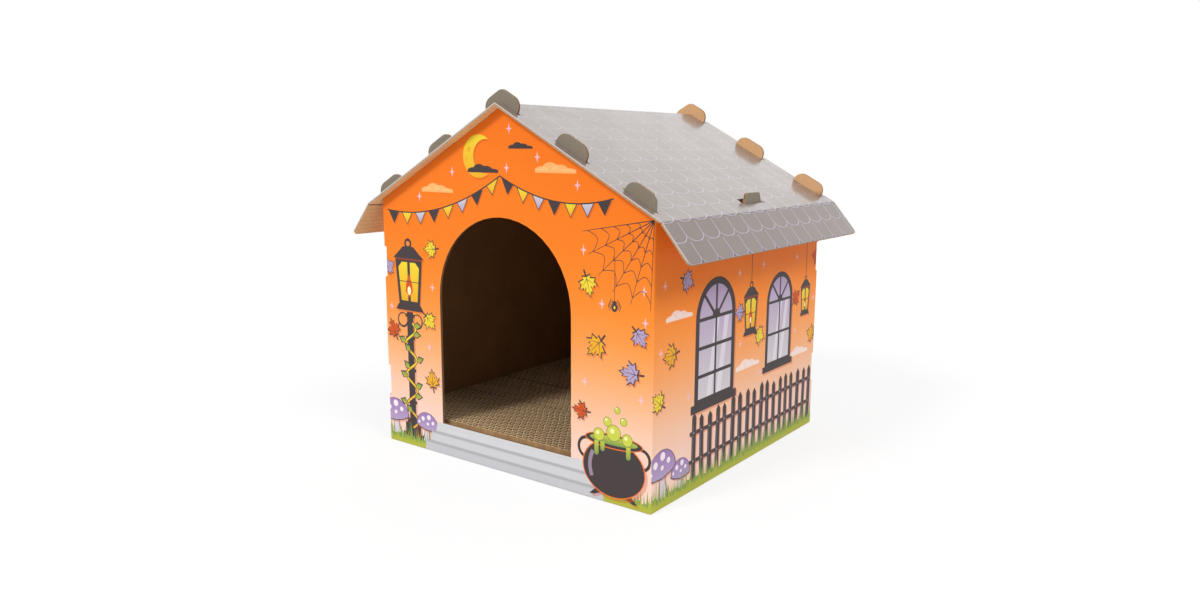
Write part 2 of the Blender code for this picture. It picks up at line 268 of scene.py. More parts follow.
def flutes(across):
    """The washboard of the flutes, from -1 to 1, over the coordinate that crosses them."""
    return (across * (TURN / FLUTE)).sine()


def stretched(finish, place, across, along):
    return finish.node("ShaderNodeMapping", {}, {"Vector": place, "Scale": (across, along, 1.0)})


def kraft_colour(finish, place, tone):
    """Brown paper with fibres and a slow change of tone."""
    fibres = finish.noise(stretched(finish, place, 900, 160), scale=1.0, detail=4.0)
    clouds = finish.noise(place, scale=14.0, detail=2.0)
    specks = finish.noise(place, scale=700.0, detail=1.0).ramp(0.70, 0.78, 0.0, 0.35)
    share = fibres.ramp(0.3, 0.7) * 0.55 + clouds.ramp(0.3, 0.7) * 0.45
    colour = finish.blend(share, toned(tone, 0.80), toned(tone, 1.16))
    return finish.blend(specks, colour, toned(tone, 0.45)), fibres


def kraft_liner(name, tone, flute_axis, washboard=0.04, crease_shade=None, painted_light_above=None):
    """The unprinted side of the board. flute_axis is the coordinate that crosses the flutes.

    washboard says how dark the flutes show. A crease gets a thin line of painted shade along the
    fold.
    Above a given height the paper is painted paler, as painted light where it stands above the
    roof.
    """
    finish = Finish(name)
    place, *across = sheet_place(finish)
    colour, fibres = kraft_colour(finish, place, tone)
    # Painted light: above that height the kraft is painted paler.
    if painted_light_above is not None:
        painted_light_share = across[1].ramp(painted_light_above, painted_light_above + LIT_BAND)
        colour = finish.blend(painted_light_share, colour, PAINTED_LIGHT_KRAFT_TONE)
    wash = flutes(across[flute_axis])
    colour = finish.blend(wash.ramp(0.0, 1.0, 0.0, washboard), colour, (0.02, 0.01, 0.005))
    # Painted shade: a thin dark line along the crease of the fold.
    if crease_shade is not None:
        line = abs(across[flute_axis] - crease_shade).ramp(0.5 * MM, 1.5 * MM, 0.6, 0.0)
        colour = finish.blend(line, colour, (0.05, 0.025, 0.012))
    height = wash * 0.5 + fibres * 0.5
    normal = finish.bump(height, 0.12 * MM, 0.6)
    return finish.surface(base_color=colour, roughness=fibres.ramp(0.2, 0.8, 0.74, 0.9),
                          normal=normal, specular_ior_level=0.25)


# %% [markdown]
# ## Cut edges
#
# A cut through the board shows two thin liners with a wave of paper between them. Cuts that run
# along the flutes show one flute from the side. Both come from the same sum: the wave's depth
# depends only on the coordinate that crosses the flutes. Depths are shares of the board. The
# cutting die also crushes the board and rolls the printed paper a little way over the edge.

# %% Edge of corrugated board
WAVE_MIDDLE = 0.62
WAVE_SWING = 0.30
INNER_LINER = 0.88


def cut_edge(name, tone, flute_axis, printed, rolled_depth=0.3, hollow_shade=0.35):
    """printed is the colour of the printed liner, which the cutting die rolls over the edge.

    rolled_depth says how far it rolls. The flutes' open hollows are painted darker, as painted
    shade, and the last argument is the share of the tone that they keep.
    """
    finish = Finish(name)
    place, *across = sheet_place(finish)
    depth = finish.node("ShaderNodeAttribute", {"attribute_name": "ply"}, {}, "Fac")
    wave = flutes(across[flute_axis]) * WAVE_SWING + WAVE_MIDDLE
    wavy = abs(depth - wave).ramp(0.08, 0.16, 1.0, 0.0)
    paper = wavy.most(depth > INNER_LINER)
    fibres = finish.noise(place, scale=900.0, detail=3.0)
    light = finish.blend(fibres.ramp(0.3, 0.7), toned(tone, 0.8), tone)
    # Painted shade: where there is no paper, the open hollows take a darker copy of the tone.
    colour = finish.blend(paper, toned(tone, hollow_shade), light)
    rolled = (depth + fibres * 0.12).ramp(rolled_depth, rolled_depth + 0.1, 1.0, 0.0)
    colour = finish.blend(rolled, colour, printed)
    normal = finish.bump(paper + fibres * 0.3, 0.2 * MM, 0.6)
    return finish.surface(base_color=colour, roughness=rolled.ramp(0.0, 1.0, 0.9, 0.6),
                          normal=normal, specular_ior_level=0.2)


# %% [markdown]
# ## The print on the walls
#
# The walls are printed from deep orange at the top to pale peach at the foot, under a thin
# gloss. Pictures are not painted in the shader: they are cut into the printed face like a
# stencil, and each cut shape carries its ink as a colour on its corners. The ink's alpha says how
# much of the ground it covers. The shader only mixes the two and adds the press's fine grain.

# %% Printed wall
GROUND = [
    (0.02, ink(247, 212, 196)), (0.12, ink(247, 208, 191)), (0.19, ink(248, 200, 171)),
    (0.26, ink(249, 184, 139)), (0.33, ink(251, 167, 102)), (0.41, ink(251, 152, 70)),
    (0.48, ink(251, 141, 48)), (0.56, ink(251, 132, 34)), (0.65, ink(249, 126, 26)),
    (1.00, ink(246, 119, 20)),
]
GROUND_HEIGHT = 0.42


def printed_wall(name):
    finish = Finish(name)
    place, across, up = sheet_place(finish)
    slow = finish.noise(place, scale=9.0, detail=2.0)
    level = up / GROUND_HEIGHT + (slow - 0.5) * 0.05
    ground = finish.node("ShaderNodeValToRGB", {"stops": GROUND}, {"Fac": level})
    stamp = {"attribute_name": "ink"}
    picture = finish.node("ShaderNodeAttribute", stamp, {}, "Color")
    cover = finish.node("ShaderNodeAttribute", stamp, {}, "Alpha")
    colour = finish.blend(cover, ground, picture)
    grain = finish.noise(place, scale=1400.0, detail=1.0)
    colour = finish.blend(grain.ramp(0.35, 0.75, 0.0, 0.04), colour, (0.9, 0.8, 0.7))
    dents = finish.noise(place, scale=26.0, detail=2.0)
    normal = finish.bump(flutes(across) * 0.16 + dents * 1.6, 0.28 * MM, 0.7)
    return finish.surface(base_color=colour, roughness=dents.ramp(0.3, 0.7, 0.34, 0.44),
                          normal=normal, specular_ior_level=0.06, coat_weight=0.03,
                          coat_roughness=0.16)


# %% [markdown]
# ## The print on the roof
#
# The roof is printed with rows of long round-ended shingles on a warm grey, outlined in lilac.
# One shingle is drawn once: two straight sides and half an ellipse. Rows are counted down the
# slope and shingles along it, and the same outline repeats. The last row is a little longer, and
# dark chinks show between its ends. The map called sheet carries on over the eave crease, so the
# rows run on without a break.

# %% Printed roof
SHINGLE_WIDTH = 32 * MM
SHINGLE_ROW = 23.6 * MM
SHINGLE_ROUND = 9.5 * MM
OUTLINE = 0.42 * MM
LAST_ROW = 11
LAST_EXTRA = 3.0 * MM
LOWER_RIM = 0.8 * MM
ROW_ZERO = SLOPE + FLAP - LOWER_RIM - (LAST_ROW + 1) * SHINGLE_ROW
CHINK = 6.2 * MM
ROOF_GREY = ink(115, 101, 94)
ROOF_LILAC = ink(188, 170, 204)
# Dark grey of the printed chinks, also used for painted shade just past the eave crease.
CHINK_AND_CREASE_SHADE_GREY = ink(50, 45, 62)


def printed_roof(name):
    finish = Finish(name)
    place, along, down = sheet_place(finish)
    rows = (down - ROW_ZERO) / SHINGLE_ROW
    row = rows.whole().least(LAST_ROW)
    drop = (rows - row) * SHINGLE_ROW
    column = (along + 1.0) / SHINGLE_WIDTH + 0.5
    aside = (column - column.whole() - 0.5) * SHINGLE_WIDTH
    half = SHINGLE_WIDTH / 2
    last = row > LAST_ROW - 0.5
    below = (drop - last * LAST_EXTRA - (SHINGLE_ROW - SHINGLE_ROUND)).most(0.0)
    reach = ((aside * aside) / half ** 2 + (below * below) / SHINGLE_ROUND ** 2).root()
    pull = (aside * aside) / half ** 4 + (below * below) / SHINGLE_ROUND ** 4
    off = abs(reach - 1.0) * reach / pull.root().most(1.0)
    line = off.ramp(OUTLINE * 0.6, OUTLINE * 1.6, 1.0, 0.0)
    tone = finish.noise(place, scale=30.0, detail=3.0)
    grey = finish.blend(tone.ramp(0.3, 0.7), toned(ROOF_GREY, 0.94), ROOF_GREY)
    # Painted shade: a thin dark line in the groove just past the eave crease.
    crease_shade = abs(down - SLOPE - 0.9 * MM).ramp(0.2 * MM, 0.9 * MM, 0.55, 0.0)
    colour = finish.blend(crease_shade, grey, CHINK_AND_CREASE_SHADE_GREY)
    # The lilac outline is printed fainter towards the ridge, stronger down the slope and strongest
    # on the flap.
    outline_share = down.ramp(0.0, SLOPE, 0.35, 0.6) + (down > SLOPE) * 0.2
    colour = finish.blend(line * outline_share, colour, ROOF_LILAC)
    foot = down - (SLOPE + FLAP - CHINK)
    beside = aside + half - (aside + half > half) * SHINGLE_WIDTH
    gap = (foot > 0.0) * (beside > foot * -0.75) * (beside < foot * 0.35)
    colour = finish.blend(gap * (off > OUTLINE), colour, CHINK_AND_CREASE_SHADE_GREY)
    dents = finish.noise(place, scale=18.0, detail=2.0)
    normal = finish.bump(flutes(down) * 0.06 + dents * 1.6, 0.25 * MM, 0.7)
    return finish.surface(base_color=colour, roughness=dents.ramp(0.3, 0.7, 0.28, 0.36),
                          normal=normal, coat_weight=0.7, coat_roughness=0.14)


# %% [markdown]
# ## A stencil for the picture
#
# A stencil is a list of shapes, each with an ink, laid one over another. When it is pressed on a
# sheet, a constrained triangulation cuts the face along every outline. The inks of the shapes
# that cover a small face are then laid over each other, the last one on top, and thin inks let
# the ones below show through. That gives sharp edges at any distance and costs the renderer
# nothing.

# %% The stencil and its basic shapes
class Stencil:
    """Shapes on a flat sheet, given in millimetres, the last one on top."""

    def __init__(self):
        self.shapes = []

    def add(self, paint, ring, shade=0.0):
        """paint is a colour with an optional cover, or a pair of them for foot and top."""
        if shade:
            self.add(SHADE, [(x + shade, y - shade) for x, y in ring])
        ring = [Vector((x, y)) * MM for x, y in ring]
        pair = paint if isinstance(paint[0], tuple) else (paint, paint)
        foot = min(point.y for point in ring)
        top = max(point.y for point in ring)
        self.shapes.append(([(*tone, 1.0)[:4] for tone in pair], foot, top, ring))

    def box(self, paint, left, foot, right, top, shade=0.0):
        self.add(paint, [(left, foot), (right, foot), (right, top), (left, top)], shade)

    def disc(self, paint, x, y, radius, tall=None, start=0.0, end=360.0, steps=24, shade=0.0):
        """A disc, an ellipse or a slice of either, with its angles in degrees."""
        ring = arc(x, y, radius, start, end, steps, tall)
        self.add(paint, ring[:-1] if end - start >= 360.0 else ring, shade)

    def line(self, paint, points, width, tip=None, shade=0.0):
        """A stroke through points, which can thin out towards its end."""
        points = [Vector(point) for point in points]
        last = len(points) - 1
        left, right = [], []
        for index, point in enumerate(points):
            ahead = points[min(index + 1, last)] - points[max(index - 1, 0)]
            side = Vector((-ahead.y, ahead.x)).normalized()
            wide = width if tip is None else width + (tip - width) * index / last
            left.append(point + side * wide / 2)
            right.append(point - side * wide / 2)
        self.add(paint, right + left[::-1], shade)


def arc(x, y, radius, start, end, steps=16, tall=None):
    """Points along part of a circle or ellipse, with its angles in degrees."""
    angles = [math.radians(start + (end - start) * step / steps) for step in range(steps + 1)]
    return [(x + radius * math.cos(a), y + (tall or radius) * math.sin(a)) for a in angles]


def turned(points, x, y, degrees, size=1.0):
    """Points of a small drawing, turned and scaled about its origin and set down at x, y."""
    c, s = math.cos(math.radians(degrees)) * size, math.sin(math.radians(degrees)) * size
    return [(x + px * c - py * s, y + px * s + py * c) for px, py in points]


# %% [markdown]
# ### Pressing the stencil
#
# The triangulation also says which outlines each face belongs to, but for thin outlines that can
# be wrong, and one stroke's ink would then flood a wall. So each outline that it names is tested
# once more: counting the turns that the outline makes round the middle of the face tells whether
# it covers it.

# %% Cut a face with a stencil
SAME_CORNER = 1e-7


def area_of(ring):
    """Twice the area inside a ring of points, above zero when it runs anticlockwise."""
    return sum(a[0] * b[1] - a[1] * b[0] for a, b in zip(ring, ring[1:] + ring[:1]))


def covers(ring, point):
    """True where a ring goes round a point."""
    turns = 0
    for a, b in zip(ring, ring[1:] + ring[:1]):
        if (a.y > point.y) != (b.y > point.y):
            if point.x < a.x + (b.x - a.x) * (point.y - a.y) / (b.y - a.y):
                turns += 1 if b.y > a.y else -1
    return turns != 0


def press(stencil, loops, lines):
    """Cut a flat face along its loops, its bend lines and the stencil's shapes."""
    corners = []
    rings = []
    for ring in loops + [shape[3] for shape in stencil.shapes]:
        start = len(corners)
        corners += ring if area_of(ring) > 0 else ring[::-1]
        rings.append(list(range(start, len(corners))))
    edges = []
    for first, second in lines:
        edges.append((len(corners), len(corners) + 1))
        corners += [first, second]
    points, _, faces, _, _, owners = delaunay_2d_cdt(corners, edges, rings, 0, SAME_CORNER)
    holes = set(range(1, len(loops)))
    kept = []
    for face, owner in zip(faces, owners):
        if 0 in owner and not holes & set(owner):
            middle = sum((points[i] for i in face), Vector((0, 0))) / len(face)
            named = [i - len(loops) for i in sorted(set(owner)) if i >= len(loops)]
            shapes = [stencil.shapes[i] for i in named]
            kept.append((face, [shape for shape in shapes if covers(shape[3], middle)]))
    return points, kept


NO_HEIGHT = 1e-6


def ink_at(shapes, height):
    """The ink and its cover where shapes lie one over another."""
    colour, cover = (0.0, 0.0, 0.0), 0.0
    for (foot_tone, top_tone), foot, top, _ in shapes:
        share = min(1.0, max(0.0, (height - foot) / max(top - foot, NO_HEIGHT)))
        tone = [a + (b - a) * share for a, b in zip(foot_tone, top_tone)]
        under = cover * (1 - tone[3])
        total = tone[3] + under
        if total > 0:
            colour = tuple((t * tone[3] + c * under) / total for t, c in zip(tone, colour))
        cover = total
    return (*colour, cover)


# %% [markdown]
# ## A panel of board
#
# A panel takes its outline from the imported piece: the faces on its printed plane give the outer
# edge and every hole. The stencil cuts that face, and the region is extruded one board deep. On
# a fold, the printed side is bent round an arc up to the middle of the corner and the inner side
# is mitred, so two neighbours meet on one line and the paper looks unbroken.

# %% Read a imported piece's outline
FLAT = 1e-5
TOUCHING = 1e-6


def outline_of(node, matrix):
    """Loops of points of the faces that lie on the panel's printed plane, outer one first."""
    shape = bmesh.new()
    shape.from_mesh(frame["nodes"][node].data)
    bmesh.ops.transform(shape, matrix=matrix.inverted(), verts=shape.verts)
    bmesh.ops.remove_doubles(shape, verts=shape.verts, dist=TOUCHING)
    shape.verts.index_update()
    shape.normal_update()
    printed = [f for f in shape.faces if f.normal.z > 0.9 and abs(f.verts[0].co.z) < FLAT]
    step = {}
    for face in printed:
        for loop in face.loops:
            other = [f for f in loop.edge.link_faces if f in printed and f is not face]
            if not other:
                step[loop.vert.index] = loop.link_loop_next.vert
    places = {vert.index: vert.co.xy.copy() for vert in shape.verts}
    loops = []
    while step:
        start = next(iter(step))
        ring = []
        here = start
        while here in step:
            ring.append(places[here])
            here = step.pop(here).index
        loops.append(ring)
    shape.free()
    return sorted(loops, key=lambda ring: -abs(area_of(ring)))


# %% [markdown]
# ### Folds
#
# A fold knows where its crease lies on the flat sheet and by what angle its own panel turns there.
# It cuts the printed face into a few strips, moves them onto an arc, and pulls the inner face back
# to the mitre. A crease that can close further needs more room inside, or the two inner papers
# would meet too soon.

# %% A crease along one side of a panel
JOIN = 0.5 * MM
ON_THE_ARC = 1e-9


class Fold:
    """axis is 0 for x and 1 for y, and side is +1 or -1, for where on the panel it lies."""

    def __init__(self, axis, place, side, angle, bend, steps, room=0.0):
        """bend is the arc's radius, and room is how much further this panel can turn."""
        self.axis = axis
        self.place = place
        self.side = side
        self.angle = angle
        self.mitre_angle = angle + room
        self.bend = bend
        self.steps = steps
        self.reach = bend * math.tan(angle)

    def inward(self, point):
        """How far a point lies from the crease, measured into the panel."""
        return (self.place - point[self.axis]) * self.side

    def seat(self, point):
        """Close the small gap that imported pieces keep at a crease."""
        if abs(self.inward(point)) < JOIN:
            point[self.axis] = self.place

    def lines(self, low, high):
        """Lines along the crease that cut the printed face into the steps of its bend."""
        made = []
        for step in range(1, self.steps + 1):
            ends = Vector(low), Vector(high)
            for end in ends:
                end[self.axis] = self.place - self.side * self.reach * step / self.steps
            made.append(ends)
        return made

    def round_over(self, point):
        """Move a point of the printed face onto the bend's arc."""
        inward = self.inward(point)
        if inward < self.reach - ON_THE_ARC:
            angle = (1 - inward / self.reach) * self.angle
            run = self.reach - self.bend * math.sin(angle)
            point[self.axis] = self.place - self.side * run
            point.z -= self.bend * (1 - math.cos(angle))

    def mitre(self, point):
        """Keep a point of the inner face behind the mitre."""
        least = BOARD * math.tan(self.mitre_angle)
        if self.inward(point) < least:
            point[self.axis] = self.place - self.side * least


# %% Hand a finished piece to the frame
def finish_piece(name, shape, finishes, body, nodes):
    """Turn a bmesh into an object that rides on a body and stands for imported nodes."""
    mesh = bpy.data.meshes.new(name)
    shape.to_mesh(mesh)
    shape.free()
    for finish in finishes:
        mesh.materials.append(finish)
    piece = bpy.data.objects.new(name, mesh)
    bpy.context.scene.collection.objects.link(piece)
    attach(piece, body)
    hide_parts(*nodes)
    print(name, len(mesh.polygons), "faces")
    return piece


# %% Build a panel
def lay_face(shape, points, cut, sheet_at):
    """The printed face. Each corner notes its ink and its place on the sheet."""
    sheet = shape.loops.layers.uv.new("sheet")
    stamp = shape.loops.layers.float_color.new("ink")
    shape.verts.layers.float.new("ply")
    verts = [shape.verts.new((*point, 0.0)) for point in points]
    for corners, shapes in cut:
        face = shape.faces.new([verts[i] for i in corners])
        for loop in face.loops:
            loop[sheet].uv = sheet_at(loop.vert.co.x, loop.vert.co.y)
            loop[stamp] = ink_at(shapes, loop.vert.co.y)
    spare = [vert for vert in shape.verts if not vert.link_faces]
    bmesh.ops.delete(shape, geom=spare, context="VERTS")


def thicken(shape, folds):
    """Extrude the face one board deep and bend both sides at the folds."""
    ply = shape.verts.layers.float["ply"]
    printed = shape.faces[:]
    outer = shape.verts[:]
    made = bmesh.ops.extrude_face_region(shape, geom=printed, use_keep_orig=True)["geom"]
    inner = [item for item in made if isinstance(item, bmesh.types.BMVert)]
    liner = {item for item in made if isinstance(item, bmesh.types.BMFace)}
    for face in shape.faces:
        face.material_index = 1 if face in liner else 2
    for face in printed:
        face.material_index = 0
    for vert in outer:
        for fold in folds:
            fold.round_over(vert.co)
    for vert in inner:
        vert[ply] = 1.0
        vert.co.z = -BOARD
        for fold in folds:
            fold.mitre(vert.co)
    bmesh.ops.remove_doubles(shape, verts=inner, dist=TOUCHING)
    bmesh.ops.dissolve_degenerate(shape, dist=SAME_CORNER, edges=shape.edges)
    bmesh.ops.recalc_face_normals(shape, faces=shape.faces)


def make_panel(name, node, body, matrix, folds, finishes, stencil=None, sheet_at=None):
    """finishes are for the printed face, the inner face and the cut edges, in that order."""
    loops = outline_of(node, matrix)
    for ring in loops:
        for point in ring:
            for fold in folds:
                fold.seat(point)
    low = [min(point[i] for point in loops[0]) - MM for i in (0, 1)]
    high = [max(point[i] for point in loops[0]) + MM for i in (0, 1)]
    lines = [line for fold in folds for line in fold.lines(low, high)]
    points, cut = press(stencil or Stencil(), loops, lines)
    shape = bmesh.new()
    lay_face(shape, points, cut, sheet_at or (lambda x, y: (x, y)))
    thicken(shape, folds)
    shape.transform(matrix)
    return finish_piece(name, shape, finishes, body, [node])


# %% [markdown]
# ## Inks and small drawings
#
# The press uses few inks over the orange ground: a dark grey, two yellows, a rust, two lilacs, a
# pink and four greens. Each small drawing is a function that adds a handful of simple shapes at
# a place, so that the same lantern or leaf can be set down many times. A darker orange copy,
# moved a little to the lower right, gives the drawings their printed drop shadow.

# %% Inks
SHADE = (*ink(196, 74, 24), 0.42)
DARK = ink(66, 58, 60)
YELLOW = ink(242, 214, 54)
GOLD = ink(238, 172, 40)
LILAC = ink(180, 160, 196)
LILAC_PALE = ink(212, 206, 210)
PINK = ink(240, 192, 204)
GRASS_LOW = ink(190, 186, 62)
GRASS_MID = ink(166, 178, 66)
GRASS_BACK = ink(150, 168, 70)
GRASS_TOP = ink(118, 150, 78)
RUST = ink(214, 84, 30)
STEP_STRIPE = ink(166, 165, 170)
TAB_GREY = ink(132, 122, 106)
MIST = (*ink(250, 230, 224), 0.8)
MIST_WARM = (*ink(255, 198, 128), 0.7)

# %% [markdown]
# ### The three steps
#
# Three pale treads are printed under the doorway, each a little wider than the one above. Each
# tread throws a soft grey line on the next. A soft line takes a few bands of part cover, laid one
# inside another.

# %% Draw the steps
STEPS = [(40.3, 27.0, -113, 114, ink(209, 209, 212)), (27.0, 13.6, -123, 124, ink(205, 205, 208)),
         (13.6, -1.0, -134, 138, ink(196, 196, 200))]
STEP_SHADES = [(4.6, 0.3), (3.4, 0.4), (2.2, 0.5)]


def draw_steps(art):
    """Each step has a top, a foot, a left and a right end and a tone. A shade has width, cover."""
    for number, (top, foot, left, right, tone) in enumerate(STEPS):
        slant = 2.0 if number else 3.0
        art.add(tone, [(left - slant, foot), (right + slant, foot), (right, top), (left, top)])
        shades = STEP_SHADES if number else []
        for wide, cover in shades:
            art.box((*STEP_STRIPE, cover), left + 1, top - 0.4 - wide / 2,
                    right - 1, top - 0.4 + wide / 2)


# %% [markdown]
# ### Turf
#
# A low green band runs along the foot of the walls. Its blades are thin leaning triangles, paler
# at the root, of random height. A darker row stands behind a lighter one.

# %% Draw grass
def draw_grass(art, left, right, height, seed):
    dice = random.Random(seed)
    for share, tones in ((1.0, (GRASS_BACK, GRASS_TOP)), (0.62, (GRASS_LOW, GRASS_MID))):
        place = left
        ground = [(left, -1.0)]
        while place < right:
            tall = height * share * dice.uniform(0.5, 1.0)
            lean = dice.uniform(-3.4, 3.4)
            wide = dice.uniform(2.4, 4.0)
            art.add(tones, [(place - wide / 2, -1.0), (place + wide / 2, -1.0),
                            (place + lean * 0.4 + wide * 0.2, tall * 0.6), (place + lean, tall)])
            ground.append((place, height * share * dice.uniform(0.30, 0.44)))
            place += dice.uniform(1.8, 3.2)
        art.add(tones, ground + [(right, height * share * 0.35), (right, -1.0)])


# %% [markdown]
# ### Leaves, sparkles, clouds and the moon
#
# Maple leaves drift over the walls. Half an outline is given as a few points and mirrored. A
# sparkle is a star with four long points, and the moon is the outer arc of one circle closed by
# the inner arc of a smaller one. A cloud is four half ellipses on a flat bar.

# %% Draw small sky and air motifs
LEAF_HALF = [(0.03, -0.42), (0.25, -0.47), (0.21, -0.31), (0.52, -0.24), (0.39, -0.09),
             (0.57, 0.13), (0.34, 0.09), (0.31, 0.21), (0.15, 0.07), (0.21, 0.42), (0.10, 0.35),
             (0.0, 0.6)]
SPARKLE = 6.2


def draw_leaf(art, x, y, size, turn, tone):
    outline = LEAF_HALF + [(-px, py) for px, py in LEAF_HALF[-2::-1]]
    art.line(DARK, turned([(0, -0.4), (0.06, -0.84)], x, y, turn, size), size * 0.11)
    art.add(DARK, turned(outline, x, y, turn, size * 1.2), 1.8)
    art.add(tone, turned(outline, x, y, turn, size))
    vein = (*DARK, 0.75)
    art.line(vein, turned([(0, -0.42), (0, 0.42)], x, y, turn, size), size * 0.06, size * 0.02)
    for side in (-1, 1):
        art.line(vein, turned([(0, -0.3), (side * 0.4, 0.04)], x, y, turn, size), size * 0.05,
                 size * 0.015)


def draw_sparkle(art, x, y):
    ring = []
    for step in range(8):
        reach = SPARKLE * (0.24 if step % 2 else (1.0 if step % 4 == 0 else 0.7))
        angle = math.pi / 2 + step * math.pi / 4
        ring.append((x + reach * math.cos(angle), y + reach * math.sin(angle)))
    art.add(PINK, ring)


def draw_moon(art, x, y, radius):
    bow = arc(x, y, radius, 50, 310, 26)
    hollow = arc(x + radius * 0.45, y, radius * 0.79, 284, 76, 20)
    art.add((GOLD, YELLOW), bow + hollow[1:-1], 2.0)
    for px, py, share in ((-0.62, 0.32, 0.13), (-0.78, -0.12, 0.09), (-0.45, -0.62, 0.11)):
        art.disc((*GOLD, 0.8), x + px * radius, y + py * radius, share * radius, steps=12)


def draw_cloud(art, x, y, size, tone):
    """A long low cloud of flat-bottomed puffs."""
    for px, py, wide, tall in ((-0.55, 0.0, 0.30, 0.14), (-0.2, 0.06, 0.34, 0.22),
                               (0.2, 0.03, 0.36, 0.18), (0.6, -0.01, 0.28, 0.11)):
        art.disc(tone, x + px * size, y + py * size, wide * size, tall * size, 0, 180, 14)
    art.box(tone, x - 0.85 * size, y - 0.07 * size, x + 0.88 * size, y + 0.06 * size)


# %% [markdown]
# ### Lanterns and the lamp post
#
# A lantern is a dark cage with two lit panes, a cap, a foot and a ring. It hangs on a chain or
# stands on a post. The post is a few plain boxes, as turned iron is, with a curl to each side at
# its top and a vine wound round it.

# %% Draw lanterns
def draw_lantern(art, x, y, size, chain=0.0):
    """x, y is the ring that it hangs by, and size is its height."""
    if chain:
        art.line(DARK, [(x, y), (x, y + chain)], 1.3)
    art.disc(DARK, x, y - 0.02 * size, 0.07 * size, steps=14)
    art.disc(ink(250, 140, 50), x, y - 0.02 * size, 0.035 * size, steps=10)
    cap = [(-0.30, -0.22), (0.30, -0.22), (0.22, -0.16), (0.10, -0.06), (-0.10, -0.06),
           (-0.22, -0.16)]
    cage = [(-0.20, -0.84), (0.20, -0.84), (0.26, -0.22), (-0.26, -0.22)]
    foot = [(-0.27, -0.92), (0.27, -0.92), (0.22, -0.84), (-0.22, -0.84)]
    for part in (cage, cap, foot):
        art.add(DARK, turned(part, x, y, 0, size), 2.2)
    for side in (-1, 1):
        pane = [(side * 0.025, -0.79), (side * 0.155, -0.79), (side * 0.20, -0.34),
                (side * 0.13, -0.27), (side * 0.025, -0.27)]
        art.add((GOLD, YELLOW), turned(pane, x, y, 0, size))
    flame = [(0, -0.74), (0.07, -0.66), (0.06, -0.56), (0, -0.42), (-0.06, -0.56), (-0.07, -0.66)]
    art.add(RUST, turned(flame, x, y, 0, size))
    art.disc(ink(252, 244, 190), x, y - 0.65 * size, 0.035 * size, 0.06 * size, steps=10)
    art.line(DARK, [(x - 0.23 * size, y - 0.53 * size), (x + 0.23 * size, y - 0.53 * size)], 0.9)


# %% Draw the lamp post
VINE_STEPS = 60
VINE_TWIST = 0.36


def draw_post(art, x, y, top):
    for wide, low, high in ((19, 0, 9), (14, 9, 22), (10.5, 22, 28)):
        art.box(DARK, x - wide, y + low, x + wide, y + high, 2.6)
    art.box(DARK, x - 5.6, y, x + 5.6, top, 2.8)
    for height in (0.3, 0.55, 0.8, 0.97):
        level = y + (top - y) * height
        art.box(DARK, x - 8.4, level - 2.0, x + 8.4, level + 2.0)
    for side in (-1, 1):
        start, end = (200, 500) if side > 0 else (-20, -320)
        curl = arc(x + side * 13, top - 11, 8.5, start, end, 24)
        art.line(DARK, curl, 3.0, 1.4)
    vine = [(x + 9.5 * math.sin(k * VINE_TWIST), y + 16 + (top - y - 30) * k / VINE_STEPS)
            for k in range(VINE_STEPS + 1)]
    art.line(DARK, vine, 4.6)
    art.line((GOLD, YELLOW), vine, 2.6)
    dice = random.Random(7)
    for index in range(4, VINE_STEPS, 5):
        px, py = vine[index]
        side = 1 if math.sin(index * VINE_TWIST) > 0 else -1
        blade = [(0, 0), (0.45, 0.30), (1.0, 0.0), (0.45, -0.30)]
        turn = (20 if side > 0 else 160) + dice.uniform(-25, 25)
        art.add(DARK, turned([(bx * 1.15 - 0.06, by * 1.35) for bx, by in blade], px, py, turn, 13))
        art.add((GRASS_LOW, GRASS_TOP), turned(blade, px, py, turn, 12))


# %% [markdown]
# ### Toadstools, kettle and cobweb
#
# The lower corners hold toadstools and a bubbling kettle. Each is a dark shape with smaller
# coloured shapes on it, so the dark rim shows as an outline. The cobweb is a fan of threads
# joined by sagging arcs.

# %% Draw toadstools
def draw_toadstool(art, x, y, size, turn=0.0):
    stem = [(-0.12, 0), (0.14, 0), (0.09, 0.3), (0.10, 0.62), (-0.10, 0.62), (-0.08, 0.3)]
    rim = 1.2 / size
    wide = [(px * (1 + rim * 8), py) for px, py in stem]
    art.add(DARK, turned(wide, x, y, turn, size), 2.0)
    art.add((LILAC_PALE, ink(226, 206, 214)), turned(stem, x, y, turn, size))
    hood = [(px, py * 0.86 + 0.55) for px, py in arc(0, 0, 0.46, -8, 188, 22)]
    hem = [(-0.3, 0.44), (0.0, 0.40), (0.3, 0.44)]
    dome = [(px * (1 + rim * 2.2), 0.55 + (py - 0.55) * (1 + rim * 2.6) - rim * 0.6)
            for px, py in hood + hem]
    art.add(DARK, turned(dome, x, y, turn, size), 2.0)
    art.add((LILAC, ink(156, 120, 178)), turned(hood + hem, x, y, turn, size))
    for px, py, radius in ((-0.2, 0.72, 0.075), (0.05, 0.82, 0.085), (0.24, 0.68, 0.06),
                           (-0.36, 0.58, 0.045), (0.02, 0.60, 0.05)):
        spot = arc(px, py, radius, 0, 360, 12)[:-1]
        art.add(ink(244, 232, 238), turned(spot, x, y, turn, size))


